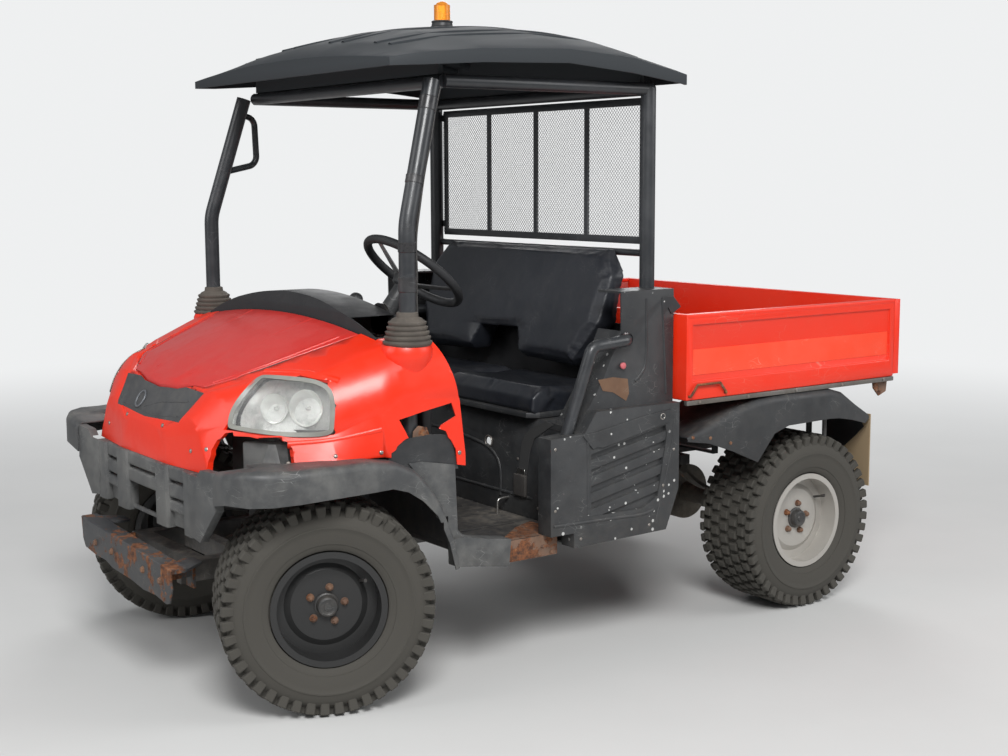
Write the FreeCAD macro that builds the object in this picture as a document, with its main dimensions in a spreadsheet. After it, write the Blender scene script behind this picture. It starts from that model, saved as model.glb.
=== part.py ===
"""A side by side utility vehicle with a tipping bed, as a parametric assembly.

Frame: +X forward, +Y to the driver's side, +Z up, origin on the floor under the middle.
Every length is in millimetres and every angle in degrees. The front wheels stand
turned to the right, as they were parked.
"""
import FreeCAD
import Part
import Sketcher
import math
import os

from FreeCAD import Placement, Rotation, Vector

# Driving dimensions: name, value, what it measures
DIMENSIONS = [
    ("half_length", 1360.0, "origin to the bumper's face and to the drawbar's end"),
    ("front_axle_x", 955.0, "front wheel centres"),
    ("rear_axle_x", -865.0, "rear wheel centres"),
    ("rear_track_half", 600.0, "rear wheel centre plane"),
    ("kingpin_y", 470.0, "steering axis of a front wheel"),
    ("wheel_offset", 105.0, "kingpin to the front wheel's centre plane"),
    ("parked_steer", -20.0, "front wheels as parked, to the right"),
    ("tyre_radius", 308.0, "to the lugs' corners"),
    ("tyre_half_width", 125.0, "over the sidewalls"),
    ("tread_base_radius", 292.0, "between the lugs"),
    ("lug_width", 36.0, "lug along the tread"),
    ("lug_count", 24.0, "lugs in a row"),
    ("rim_seat_radius", 152.0, "bead seat"),
    ("rim_flange_radius", 166.0, "rim flange"),
    ("rim_half_width", 105.0, "rim over its flanges"),
    ("rim_wall", 4.0, "rim sheet"),
    ("rim_disc_y", 35.0, "disc outboard of the wheel's centre plane"),
    ("hub_radius", 40.0, "hub that the rim is bolted to"),
    ("hub_flange_radius", 72.0, "hub flange"),
    ("ball_joint_low", 205.0, "lower ball joint height"),
    ("ball_joint_high", 410.0, "upper ball joint height"),
    ("kingpin_radius", 22.0, "knuckle upright"),
    ("steer_arm_back", 90.0, "kingpin to the tie rod's pin, rearwards"),
    ("steer_arm_in", 45.0, "kingpin to the tie rod's pin, inwards"),
    ("steer_arm_z", 280.0, "middle of the steering arm"),
    ("bumper_reach", 125.0, "front ends of the frame rails to the bumper's face"),
    ("rail_y", 190.0, "inner face of a frame rail"),
    ("rail_width", 50.0, "frame rail, across"),
    ("rail_height", 60.0, "frame rail, upright"),
    ("rail_low_z", 330.0, "underside of the frame rails"),
    ("rail_rear_z", 500.0, "underside of the rails over the rear axle"),
    ("floor_z", 420.0, "top of the cab floor"),
    ("floor_sheet", 6.0, "cab floor"),
    ("cab_half_width", 700.0, "fenders and side panels"),
    ("toe_x", 566.0, "front wall of the footwell"),
    ("seat_front_x", 190.0, "front wall of the seat base"),
    ("seat_base_z", 750.0, "top of the seat base"),
    ("seat_base_half", 572.0, "seat base, across"),
    ("cushion_height", 95.0, "seat cushion"),
    ("panel_wall", 4.0, "moulded body panels"),
    ("side_skin_high", 694.0, "upper skin of a side panel"),
    ("side_skin_low", 735.0, "lower skin of a side panel"),
    ("side_inner_y", 580.0, "inner edge of a side panel"),
    ("post_radius", 24.3, "roof posts"),
    ("front_post_x", 742.0, "front post at its foot"),
    ("front_post_y", 643.0, "front post at its foot"),
    ("front_post_bend_z", 1373.0, "where the front post leans back"),
    ("front_post_top_x", 625.0, "front post at the roof"),
    ("front_post_top_y", 600.0, "front post at the roof"),
    ("rear_post_x", -189.0, "rear post"),
    ("rear_post_y", 612.0, "rear post"),
    ("roof_frame_z", 1782.0, "middle of the roof frame's tubes"),
    ("roof_wall", 5.0, "roof moulding"),
    ("bed_front_x", -245.0, "bed's front wall"),
    ("bed_rear_x", -1283.0, "bed's tailgate"),
    ("bed_half_width", 745.0, "bed, across"),
    ("bed_low_z", 792.0, "underside of the bed's side walls"),
    ("bed_high_z", 1069.0, "top rails of the bed"),
    ("bed_wall", 28.0, "bed side wall, double sheet"),
    ("bed_floor_sheet", 4.0, "bed floor"),
    ("bed_hinge_x", -1170.0, "tipping hinge"),
    ("bed_hinge_z", 762.0, "tipping hinge"),
    ("hinge_radius", 12.0, "tipping hinge's pin"),
    ("gate_hinge_radius", 7.0, "tailgate's hinge barrels"),
    ("wheel_sweep_radius", 384.0, "space about a kingpin that a steered wheel needs"),
    ("fender_half", 760.0, "flares and rear fenders, across"),
    ("steering_wheel_x", 519.0, "steering wheel's centre"),
    ("steering_wheel_y", 324.0, "steering wheel's centre"),
    ("steering_wheel_z", 1218.0, "steering wheel's centre"),
    ("steering_wheel_radius", 165.0, "middle of the rim"),
    ("steering_grip", 14.0, "steering wheel's rim, radius"),
    ("column_tilt", 51.0, "steering column above level"),
    ("axle_radius", 38.0, "rear axle tube"),
    ("seat_gap", 0.3, "soft pieces and seated pieces stand this far off"),
    ("running_gap", 5.0, "moving pieces clear others by this"),
]

doc = FreeCAD.newDocument("SideBySide")
sheet = doc.addObject("Spreadsheet::Sheet", "Sizes")
for row, (alias, value, meaning) in enumerate(DIMENSIONS, start=1):
    sheet.set(f"A{row}", meaning)
    sheet.set(f"B{row}", str(value))
    sheet.setAlias(f"B{row}", alias)
doc.recompute()


class Size:
    """A length that knows its value and its formula in the sheet."""

    def __init__(self, text, value):
        self.text = text
        self.value = value

    def __float__(self):
        return float(self.value)

    def __add__(self, other):
        other = size(other)
        return Size(f"({self.text} + {other.text})", self.value + other.value)

    def __sub__(self, other):
        other = size(other)
        return Size(f"({self.text} - {other.text})", self.value - other.value)

    def __mul__(self, other):
        other = size(other)
        return Size(f"({self.text} * {other.text})", self.value * other.value)

    def __truediv__(self, other):
        other = size(other)
        return Size(f"({self.text} / {other.text})", self.value / other.value)

    def __neg__(self):
        return Size(f"(0 - {self.text})", -self.value)

    __radd__ = __add__
    __rmul__ = __mul__

    def __rsub__(self, other):
        return size(other) - self


def size(number):
    """Returns the number as a Size."""
    return number if isinstance(number, Size) else Size(repr(float(number)), float(number))


def root(length):
    """Returns the square root of a Size."""
    return Size(f"sqrt({length.text})", math.sqrt(length.value))


class Sheet:
    """Reads the driving dimensions by name."""

    def __getattr__(self, alias):
        return Size(f"Sizes.{alias}", float(sheet.get(alias)))


S = Sheet()
nodes = []

# Building blocks: each binds its sizes to the sheet


def bind(item, prop, length):
    """Sets a property to a Size and ties it to the Size's formula."""
    item.setExpression(prop, size(length).text)


def place(item, x, y, z):
    """Ties an object's position to three Sizes."""
    bind(item, "Placement.Base.x", x)
    bind(item, "Placement.Base.y", y)
    bind(item, "Placement.Base.z", z)


def block(name, x0, x1, y0, y1, z0, z1):
    """Makes a box between two corners."""
    item = doc.addObject("Part::Box", name)
    bind(item, "Length", size(x1) - x0)
    bind(item, "Width", size(y1) - y0)
    bind(item, "Height", size(z1) - z0)
    place(item, x0, y0, z0)
    return item


TURNS = {
    "X": Rotation(Vector(0, 1, 0), 90),
    "Y": Rotation(Vector(1, 0, 0), -90),
    "Z": Rotation(),
}


def rod(name, radius, x, y, z, axis, length):
    """Makes a cylinder that starts at a point and runs along +X, +Y or +Z."""
    item = doc.addObject("Part::Cylinder", name)
    item.Placement = Placement(Vector(), TURNS[axis])
    bind(item, "Radius", radius)
    bind(item, "Height", length)
    place(item, x, y, z)
    return item


def fused(name, items):
    """Joins solids into one."""
    item = doc.addObject("Part::MultiFuse", name)
    item.Shapes = items
    item.Refine = True
    return item


def cut(name, base, tool):
    """Takes one solid out of another."""
    item = doc.addObject("Part::Cut", name)
    item.Base = base
    item.Tool = tool
    return item


def common(name, first, second):
    """Keeps what two solids share."""
    item = doc.addObject("Part::MultiCommon", name)
    item.Shapes = [first, second]
    return item


def mirrored(name, source):
    """Mirrors a solid to the other side of the vehicle."""
    item = doc.addObject("Part::Mirroring", name)
    item.Source = source
    item.Normal = Vector(0, 1, 0)
    return item


def group(name, items):
    """Puts solids that don't touch into one node."""
    item = doc.addObject("Part::Compound", name)
    item.Links = items
    return item


def both_sides(name, source):
    """Puts a solid and its mirror image into one node."""
    return group(name, [source, mirrored(name + "_other_side", source)])


def feature(name, shape):
    """Holds a shape that Part's own functions made."""
    item = doc.addObject("Part::Feature", name)
    item.Shape = shape
    return item


def node(label, item):
    """Names a finished sub-part and lists it for export."""
    item.Label = label
    nodes.append(item)
    return item


def origin_plane(body, role):
    """Finds one of a body's own origin planes or axes."""
    return next(f for f in body.Origin.OriginFeatures if f.Role == role)


def outline_sketch(body, name, role, corners):
    """Draws a closed outline on one of a body's planes, each corner tied to Sizes."""
    sketch = body.newObject("Sketcher::SketchObject", name)
    sketch.AttachmentSupport = [(origin_plane(body, role), "")]
    sketch.MapMode = "FlatFace"
    points = [Vector(float(u), float(v), 0) for u, v in corners]
    for start, end in zip(points, points[1:] + points[:1]):
        sketch.addGeometry(Part.LineSegment(start, end))
    count = len(points)
    for edge in range(count):
        sketch.addConstraint(Sketcher.Constraint("Coincident", edge, 2, (edge + 1) % count, 1))
    for edge, (u, v) in enumerate(corners):
        for kind, length in (("DistanceX", size(u)), ("DistanceY", size(v))):
            number = sketch.addConstraint(Sketcher.Constraint(kind, -1, 1, edge, 1, length.value))
            sketch.setExpression(f"Constraints[{number}]", length.text)
    return sketch


def prism(name, role, corners, start, length):
    """Pads an outline: XZ_Plane outlines run along Y, YZ_Plane along X and XY_Plane along Z."""
    body = doc.addObject("PartDesign::Body", name)
    sketch = outline_sketch(body, name + "_outline", role, corners)
    pad = body.newObject("PartDesign::Pad", name + "_pad")
    pad.Profile = sketch
    pad.UseCustomVector = True
    direction = {"XZ_Plane": (0, 1, 0), "YZ_Plane": (1, 0, 0), "XY_Plane": (0, 0, 1)}[role]
    pad.Direction = Vector(*direction)
    bind(pad, "Length", length)
    body.Tip = pad
    axis = {"XZ_Plane": "y", "YZ_Plane": "x", "XY_Plane": "z"}[role]
    bind(body, f"Placement.Base.{axis}", start)
    return body


def turned(name, corners):
    """Turns an outline of radius and width about the Y axis."""
    body = doc.addObject("PartDesign::Body", name)
    sketch = outline_sketch(body, name + "_outline", "XY_Plane", corners)
    spin = body.newObject("PartDesign::Revolution", name + "_turn")
    spin.Profile = sketch
    spin.ReferenceAxis = (sketch, ["V_Axis"])
    spin.Angle = 360.0
    body.Tip = spin
    return body


def path_wire(points, bend):
    """Joins straight runs with tangent arcs of one bend radius."""
    spots = [Vector(*(float(value) for value in point)) for point in points]
    edges = []
    start = spots[0]
    for before, corner, after in zip(spots, spots[1:], spots[2:]):
        back = (before - corner).normalize()
        ahead = (after - corner).normalize()
        angle = back.getAngle(ahead)
        setback = float(bend) / math.tan(angle / 2)
        reach = float(bend) / math.sin(angle / 2) - float(bend)
        entry = corner + back * setback
        exit_point = corner + ahead * setback
        middle = corner + (back + ahead).normalize() * reach
        edges.append(Part.LineSegment(start, entry).toShape())
        edges.append(Part.Arc(entry, middle, exit_point).toShape())
        start = exit_point
    edges.append(Part.LineSegment(start, spots[-1]).toShape())
    return Part.Wire(edges)


def tube_shape(points, radius, bend):
    """Sweeps a circle along straight runs and arcs."""
    wire = path_wire(points, bend)
    first = wire.Edges[0]
    circle = Part.Circle(first.Vertexes[0].Point, first.tangentAt(first.FirstParameter), float(radius))
    section = Part.Wire([circle.toShape()])
    return wire.makePipeShell([section], True, False)


def bent_tube(name, points, radius, bend):
    """Makes a round tube along straight runs and arcs."""
    return feature(name, tube_shape(points, radius, bend))


def strut(name, start, end, radius):
    """Makes a straight round bar between two points."""
    foot = Vector(*(float(value) for value in start))
    along = Vector(*(float(value) for value in end)) - foot
    return feature(name, Part.makeCylinder(float(radius), along.Length, foot, along))


# Wheels


def tyre_body():
    """Makes one tyre about the Y axis, with three rows of lugs."""
    seat = S.rim_seat_radius + S.seat_gap
    side = [
        (seat, S.rim_half_width - 14),
        (S.rim_flange_radius + 2, S.rim_half_width - 14),
        (S.rim_flange_radius + 8, S.rim_half_width + 5),
        (S.rim_flange_radius + 66, S.tyre_half_width),
        (S.tread_base_radius - 16, S.tyre_half_width - 8),
        (S.tread_base_radius, S.tyre_half_width - 28),
    ]
    near = [(radius, -width) for radius, width in side]
    body = turned("tyre", near + side[::-1])
    top = root(S.tyre_radius * S.tyre_radius - S.lug_width * S.lug_width / 4)
    low = S.tread_base_radius - 12
    shoulder = [
        (low, 44),
        (top, 44),
        (top, S.tyre_half_width - 22),
        (S.tread_base_radius - 2, S.tyre_half_width),
        (S.tread_base_radius - 30, S.tyre_half_width),
    ]
    rows = [
        ("lug_outer", shoulder, 0.0),
        ("lug_inner", [(radius, -width) for radius, width in shoulder], 0.0),
        ("lug_middle", [(low, -34), (top, -34), (top, 34), (low, 34)], 0.5),
    ]
    for name, corners, stagger in rows:
        sketch = outline_sketch(body, name + "_outline", "XY_Plane", corners)
        turn = 360.0 / float(S.lug_count) * stagger
        sketch.AttachmentOffset = Placement(Vector(), Rotation(Vector(0, 1, 0), turn))
        pad = body.newObject("PartDesign::Pad", name)
        pad.Profile = sketch
        pad.Midplane = True
        bind(pad, "Length", S.lug_width)
        body.Tip = pad
        doc.recompute()
        ring = body.newObject("PartDesign::PolarPattern", name + "_row")
        ring.Originals = [pad]
        ring.Axis = (sketch, ["V_Axis"])
        ring.Angle = 360.0
        ring.Occurrences = int(float(S.lug_count))
        body.Tip = ring
    return body


def rim_body():
    """Makes one steel rim about the Y axis, its disc towards +Y."""
    inner = S.rim_seat_radius - S.rim_wall
    disc = S.rim_disc_y
    bore = S.hub_radius - 10
    corners = [
        (S.rim_flange_radius, -S.rim_half_width),
        (S.rim_flange_radius, S.rim_wall - S.rim_half_width),
        (S.rim_seat_radius, S.rim_wall - S.rim_half_width),
        (S.rim_seat_radius, S.rim_half_width - S.rim_wall),
        (S.rim_flange_radius, S.rim_half_width - S.rim_wall),
        (S.rim_flange_radius, S.rim_half_width),
        (inner, S.rim_half_width),
        (inner, disc + 5),
        (inner - 28, disc + 5),
        (inner - 46, disc + 15),
        (bore, disc + 15),
        (bore, disc + 10),
        (inner - 48, disc + 10),
        (inner - 30, disc),
        (inner, disc),
        (inner, -S.rim_half_width),
    ]
    return turned("rim", corners)


def wheel_height():
    """Returns the height of a wheel's centre: one lug stands flat on the floor."""
    return root(S.tyre_radius * S.tyre_radius - S.lug_width * S.lug_width / 4)


def steered(item, side):
    """Turns a piece modelled about the left kingpin into the parked place on a side."""
    flip = Rotation() if side > 0 else Rotation(Vector(0, 0, 1), 180)
    turn = Rotation(Vector(0, 0, 1), float(S.parked_steer))
    base = Vector(float(S.front_axle_x), side * float(S.kingpin_y), 0)
    item.Placement = Placement(base, turn.multiply(flip)).multiply(item.Placement)


def make_wheels():
    """Places a tyre and a rim at each corner."""
    tyre = tyre_body()
    rim = rim_body()
    doc.recompute()
    for name, side in (("left", 1), ("right", -1)):
        for kind, source in (("tyre", tyre), ("rim", rim)):
            front = feature(f"{kind}_front_{name}", source.Shape.copy())
            front.Placement = Placement(Vector(0, float(S.wheel_offset), float(wheel_height())), Rotation())
            steered(front, side)
            node(f"{kind}_front_{name}", front)
            rear = feature(f"{kind}_rear_{name}", source.Shape.copy())
            turn = Rotation() if side > 0 else Rotation(Vector(0, 0, 1), 180)
            centre = Vector(float(S.rear_axle_x), side * float(S.rear_track_half), float(wheel_height()))
            rear.Placement = Placement(centre, turn)
            node(f"{kind}_rear_{name}", rear)


def make_knuckles():
    """Makes the steered uprights with their stub axles and steering arms."""
    arm_z = float(S.steer_arm_z)
    disc_back = S.wheel_offset + S.rim_disc_y + 10 - S.seat_gap
    for name, side in (("left", 1), ("right", -1)):
        low = S.ball_joint_low + 12 + S.seat_gap
        height = S.ball_joint_high - 12 - S.seat_gap - low
        upright = Part.makeCylinder(float(S.kingpin_radius), float(height), Vector(0, 0, float(low)))
        out = Vector(0, 1, 0)
        hub_z = float(wheel_height())
        stub = Part.makeCylinder(float(S.hub_radius), float(disc_back - 10), Vector(0, 0, hub_z), out)
        flange = Part.makeCylinder(float(S.hub_flange_radius), 10, Vector(0, float(disc_back) - 10, hub_z), out)
        nose = Part.makeCylinder(float(S.hub_radius) - 11, 20, Vector(0, float(disc_back), hub_z), out)
        eye = Vector(-float(S.steer_arm_back) * side, -float(S.steer_arm_in), arm_z)
        root_point = Vector(0, 0, arm_z)
        arm = Part.makeCylinder(8, (eye - root_point).Length, root_point, eye - root_point)
        boss = Part.makeCylinder(14, 18, eye - Vector(0, 0, 9))
        shape = upright.fuse([stub, flange, nose, arm, boss]).removeSplitter()
        knuckle = feature(f"knuckle_{name}", shape)
        steered(knuckle, side)
        node(f"knuckle_{name}", knuckle)


def make_tie_bar():
    """Makes the sliding steering bar, whose ends lie just above the steering arms."""
    turn = Rotation(Vector(0, 0, 1), float(S.parked_steer))
    ends = []
    bar_z = float(S.steer_arm_z + 18 + S.seat_gap)
    for side in (1, -1):
        eye = Vector(-float(S.steer_arm_back), -side * float(S.steer_arm_in), 0)
        spot = turn.multVec(eye) + Vector(float(S.front_axle_x), side * float(S.kingpin_y), bar_z)
        ends.append(spot)
    bar_x = (ends[0].x + ends[1].x) / 2
    pieces = [Part.makeCylinder(14, 18, spot - Vector(0, 0, 9)) for spot in ends]
    left = Vector(bar_x, ends[0].y - 60, bar_z)
    right = Vector(bar_x, ends[1].y + 60, bar_z)
    pieces.append(Part.makeCylinder(11, (left - right).Length, right, left - right))
    for near, spot in ((left, ends[0]), (right, ends[1])):
        pieces.append(Part.makeCylinder(8, (spot - near).Length, near, spot - near))
        pieces.append(Part.makeSphere(11, near))
    node("tie_bar", feature("tie_bar", pieces[0].fuse(pieces[1:]).removeSplitter()))


# Chassis and running gear


WISHBONE_SPREAD_LOW = 120.0
WISHBONE_SPREAD_HIGH = 150.0
DAMPER_FORWARD = 48.0


def make_frame():
    """Makes the two rails with their rise over the axle, crossmembers and towers."""
    low = S.rail_low_z
    top = S.rail_low_z + S.rail_height
    rear_low = S.rail_rear_z
    rear_top = S.rail_rear_z + S.rail_height
    nose_end = S.half_length - S.bumper_reach
    side_view = [
        (nose_end, low), (nose_end, top), (-500, top), (-575, rear_top),
        (-1210, rear_top), (-1210, rear_low), (-610, rear_low), (-535, low),
    ]
    outer = S.rail_y + S.rail_width
    damper_x = S.front_axle_x + DAMPER_FORWARD
    left = prism("rail", "XZ_Plane", side_view, S.rail_y, S.rail_width)
    half = [left, block("tower", damper_x - 30, damper_x + 30, S.rail_y, outer, top, 690)]
    half.append(block("shock_bracket", damper_x - 30, damper_x + 30, outer, 330, 678, 690))
    for name, spread in (("front", 1), ("rear", -1)):
        low_x = S.front_axle_x + spread * WISHBONE_SPREAD_LOW
        high_x = S.front_axle_x + spread * WISHBONE_SPREAD_HIGH
        half.append(block(f"arm_bracket_low_{name}", low_x - 14, low_x + 14, 205, outer, S.ball_joint_low - 8, low + 5))
        half.append(block(f"arm_bracket_high_{name}", high_x - 14, high_x + 14, 205, outer, top - 5, S.ball_joint_high + 12))
    half.append(block("cowl_upright", 640, 690, S.rail_y, outer, top, 742))
    half.append(block("bed_upright", -300, -260, S.rail_y, outer, top, 716))
    half.append(block("hinge_upright", S.bed_hinge_x - 16, S.bed_hinge_x + 16, 205, 245, rear_top, S.bed_hinge_z + 12))
    half.append(rod("hinge_pin", S.hinge_radius, S.bed_hinge_x, 225, S.bed_hinge_z, "Y", 68))
    left_half = fused("frame_left", half)
    right_half = mirrored("frame_right", left_half)
    sides = S.cab_half_width - 10
    deck = S.floor_z - S.floor_sheet
    cross = [
        ("front_cross", nose_end - 50, nose_end, 240, low, top),
        ("axle_cross_front", 1040, 1080, 240, low, top),
        ("axle_cross_rear", 800, 835, 240, low - 40, low),
        ("cowl_beam", 640, 770, S.front_post_y + 24, 700, 742),
        ("outrigger_front", 520, 560, sides, top, deck),
        ("outrigger_middle", 150, 190, S.side_inner_y - S.seat_gap, top, deck),
        ("outrigger_rear", -214, -164, 640, top, deck),
        ("bed_rest", -300, -260, 300, 716, S.bed_hinge_z - 10),
        ("spring_cross_front", -620, -580, 365, rear_low - 14, rear_low + 20),
        ("spring_cross_rear", -1150, -1110, 365, rear_low - 14, rear_low + 20),
        ("tail_cross", -1210, -1180, 240, rear_low, rear_top),
    ]
    pieces = [left_half, right_half]
    for name, x0, x1, half_width, z0, z1 in cross:
        pieces.append(block(name, x0, x1, -size(half_width), half_width, z0, z1))
    node("chassis_frame", fused("chassis_frame", pieces))


def make_rear_axle():
    """Makes the rear axle with its differential, hubs and leaf springs."""
    height = wheel_height()
    disc_back = S.rear_track_half + S.rim_disc_y + 10
    x = S.rear_axle_x
    pieces = [rod("axle_tube", S.axle_radius, x, -(disc_back - 90), height, "Y", (disc_back - 90) * 2)]
    pieces.append(rod("differential", 105, x, -90, height, "Y", 180))
    pieces.append(rod("pinion", 55, x, 0, height, "X", 170))
    for name, radius, y0, length in (
        ("hub", S.hub_radius, disc_back - 90, size(85)),
        ("hub_flange", S.hub_flange_radius, disc_back - 10, size(10)),
        ("hub_nose", S.hub_radius - 10.5, disc_back - 1, size(21)),
    ):
        pieces.append(rod(name + "_left", radius, x, y0, height, "Y", length))
        pieces.append(rod(name + "_right", radius, x, -y0 - length, height, "Y", length))
    leaf_half_length = 265.0
    eye_z = float(S.rail_rear_z) - 14 - 16
    seat_z = float(height) + float(S.axle_radius)
    for side in (1, -1):
        middle = Vector(float(x), 0, seat_z)
        ends = [Vector(float(x) + way * leaf_half_length, 0, eye_z) for way in (1, -1)]
        lower = Part.Arc(ends[0], middle, ends[1]).toShape()
        lift = Vector(0, 0, 14)
        upper = Part.Arc(ends[1] + lift, middle + lift, ends[0] + lift).toShape()
        rise = [Part.makeLine(ends[1], ends[1] + lift), Part.makeLine(ends[0] + lift, ends[0])]
        face = Part.Face(Part.Wire([lower, rise[0], upper, rise[1]]))
        leaf = face.extrude(Vector(0, 56, 0))
        leaf.translate(Vector(0, side * 330 - 28, 0))
        eyes = [Part.makeCylinder(16, 56, end + Vector(0, side * 330 - 28, 0), Vector(0, 1, 0)) for end in ends]
        pad = Part.makeBox(80, 56, 40, Vector(float(x) - 40, side * 330 - 28, float(height) + 10))
        shape = leaf.fuse(eyes + [pad])
        pieces.append(feature(f"leaf_spring_{'left' if side > 0 else 'right'}", shape))
    node("rear_axle", fused("rear_axle", pieces))


def make_front_axle():
    """Makes the front differential with its half shafts."""
    height = wheel_height()
    x = S.front_axle_x
    pieces = [
        rod("front_differential", 62, x, -90, height, "Y", 180),
        rod("half_shafts", 14, x, -430, height, "Y", 860),
        rod("joint_boot_left", 27, x, 390, height, "Y", 42),
        rod("joint_boot_right", 27, x, -432, height, "Y", 42),
        block("front_case", x - 60, x + 85 - S.seat_gap, -60, 60, height - 36, height + 30),
    ]
    node("front_axle", fused("front_axle", pieces))


def make_front_suspension():
    """Makes the wishbones and spring struts on both sides."""
    x = float(S.front_axle_x)
    inner = float(S.rail_y + S.rail_width)
    ball_y = float(S.kingpin_y)
    low = float(S.ball_joint_low)
    high = float(S.ball_joint_high)
    # wishbone: ball height, height at the frame, half spread at the frame
    wishbones = [(low, low + 12, WISHBONE_SPREAD_LOW), (high, high - 8, WISHBONE_SPREAD_HIGH)]
    boss = 12.0
    solids = []
    for ball_z, foot_z, spread in wishbones:
        ball = Vector(x, ball_y, ball_z)
        socket = Part.makeCylinder(18, 24, ball - Vector(0, 0, 12))
        legs = []
        for way in (1, -1):
            foot = Vector(x + way * spread, inner + boss + float(S.seat_gap), foot_z)
            end = ball - Vector(0, 16, 0)
            legs.append(Part.makeCylinder(11, (end - foot).Length, foot, end - foot))
            legs.append(Part.makeCylinder(boss, 44, foot - Vector(22, 0, 0), Vector(1, 0, 0)))
        solids.append(socket.fuse(legs))
    foot = Vector(x + DAMPER_FORWARD, 345, low + 16)
    head = Vector(x + DAMPER_FORWARD, 300, 676)
    along = head - foot
    damper = Part.makeCylinder(13, along.Length, foot, along)
    coil = Part.makeCylinder(27, along.Length * 0.55, foot + along * 0.4, along)
    cross_pin = Part.makeCylinder(9, 130, Vector(x - 65, 345, low + 14), Vector(1, 0, 0))
    solids[0] = solids[0].fuse([damper, coil, cross_pin])
    left = feature("suspension_left", Part.makeCompound(solids))
    node("front_suspension", both_sides("front_suspension", left))


def make_engine():
    """Makes the engine as one plain block on four feet between the rails."""
    half = S.rail_y - 6
    pieces = [block("engine", -565, -220, -half, half, 345, 640)]
    for name, x0 in (("rear", -490), ("front", -290)):
        pieces.append(block(f"engine_feet_{name}", x0, x0 + 50, -S.rail_y, S.rail_y, 345, 365))
    node("engine_block", fused("engine_block", pieces))


# Cab structure


def front_post_shape(growth):
    """Makes the left front post, or with a growth the space that it needs."""
    foot = (S.front_post_x, S.front_post_y, 742)
    knee = (S.front_post_x, S.front_post_y, S.front_post_bend_z)
    head = (S.front_post_top_x, S.front_post_top_y, S.roof_frame_z)
    return tube_shape([foot, knee, head], float(S.post_radius) + growth, 180)


def make_front_posts():
    """Makes the two bent front posts."""
    left = feature("front_post_left", front_post_shape(0.0))
    node("front_posts", both_sides("front_posts", left))


SEAT_BAR_RADIUS = 12.0
SEAT_BAR_BACK = 14.0


def make_rear_hoop():
    """Makes the rear posts with the frame under the roof and the bar behind the seat."""
    x = S.rear_post_x
    y = S.rear_post_y
    z = S.roof_frame_z
    deck = S.floor_z - S.floor_sheet
    pieces = []
    for name, side in (("left", 1), ("right", -1)):
        pieces.append(rod(f"rear_post_{name}", S.post_radius, x, y * side, deck, "Z", z - deck))
        start = (x, y * side, z)
        end = (S.front_post_top_x - 40, S.front_post_top_y * side, z)
        pieces.append(strut(f"roof_side_{name}", start, end, 20))
        pieces.append(feature(f"corner_{name}", Part.makeSphere(float(S.post_radius), Vector(float(x), float(y) * side, float(z)))))
    pieces.append(rod("roof_cross_rear", 20, x, -y, z, "Y", y * 2))
    pieces.append(rod("roof_cross_front", 20, S.front_post_top_x - 45, -S.front_post_top_y, z, "Y", S.front_post_top_y * 2))
    pieces.append(rod("seat_bar", SEAT_BAR_RADIUS, x - SEAT_BAR_BACK, -y, 1262, "Y", y * 2))
    node("rear_hoop", fused("rear_hoop", pieces))


def make_post_boots():
    """Makes the ribbed boots round the feet of the front posts."""
    base = 1046.0
    bore = float(S.post_radius + S.seat_gap)
    # rib: radius, height of its foot over the boot's base
    ribs = [(44, 17), (42, 34), (39, 51)]
    solid = Part.makeCylinder(bore + 6, 72, Vector(0, 0, base)).fuse(Part.makeCylinder(46, 70, Vector(0, 0, base - 58)))
    for radius, foot in ribs:
        solid = solid.fuse(Part.makeCylinder(radius, 12, Vector(0, 0, base + foot)))
    solid = solid.cut(Part.makeCylinder(bore, 200, Vector(0, 0, base - 80))).removeSplitter()
    solid.translate(Vector(float(S.front_post_x), float(S.front_post_y), 0))
    solid = solid.cut(nose_loft(-float(S.seat_gap), 0.0))
    node("post_boots", both_sides("post_boots", feature("post_boot_left", solid)))


def arched_section(x, half, low, edge, crown, drop=0.0):
    """Outlines a roof section: straight lips and one arc over the top."""
    a = Vector(x, -half, low - drop)
    b = Vector(x, -half, edge)
    top = Vector(x, 0, crown)
    c = Vector(x, half, edge)
    d = Vector(x, half, low - drop)
    edges = [Part.makeLine(a, b), Part.Arc(b, top, c).toShape(), Part.makeLine(c, d), Part.makeLine(d, a)]
    return Part.Wire(edges)


# Roof sections: distance along X, half width, lip's low edge, lip's top, crown
ROOF_SECTIONS = [
    (-345, 600, 1806, 1822, 1868),
    (-300, 670, 1796, 1828, 1935),
    (-60, 690, 1822, 1868, 1992),
    (190, 690, 1842, 1884, 1999),
    (500, 686, 1832, 1872, 1968),
    (700, 676, 1818, 1852, 1915),
    (790, 640, 1814, 1838, 1868),
]


def make_roof():
    """Makes the moulded roof as a shell with ribs that rest on the frame's cross tubes."""
    wall = float(S.roof_wall)
    outer = Part.makeLoft([arched_section(*row) for row in ROOF_SECTIONS], True, True)
    inner_rows = []
    middle = 220.0
    for x, half, low, edge, crown in ROOF_SECTIONS:
        shift = wall if x < middle else -wall
        inner_rows.append(arched_section(x + shift, half - wall, low, edge - wall, crown - wall, 60))
    inner = Part.makeLoft(inner_rows, True, True)
    shell = outer.cut(inner)
    under = Part.makeLoft([arched_section(*row, 60.0) for row in ROOF_SECTIONS], True, True)
    rest = float(S.roof_frame_z) + 20 + float(S.seat_gap)
    ribs = []
    for rib_x in (float(S.rear_post_x), float(S.front_post_top_x) - 45):
        slab = Part.makeBox(16, 1160, 300, Vector(rib_x - 8, -580, rest))
        ribs.append(slab.common(under))
    node("roof", feature("roof", shell.fuse(ribs).removeSplitter()))


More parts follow.
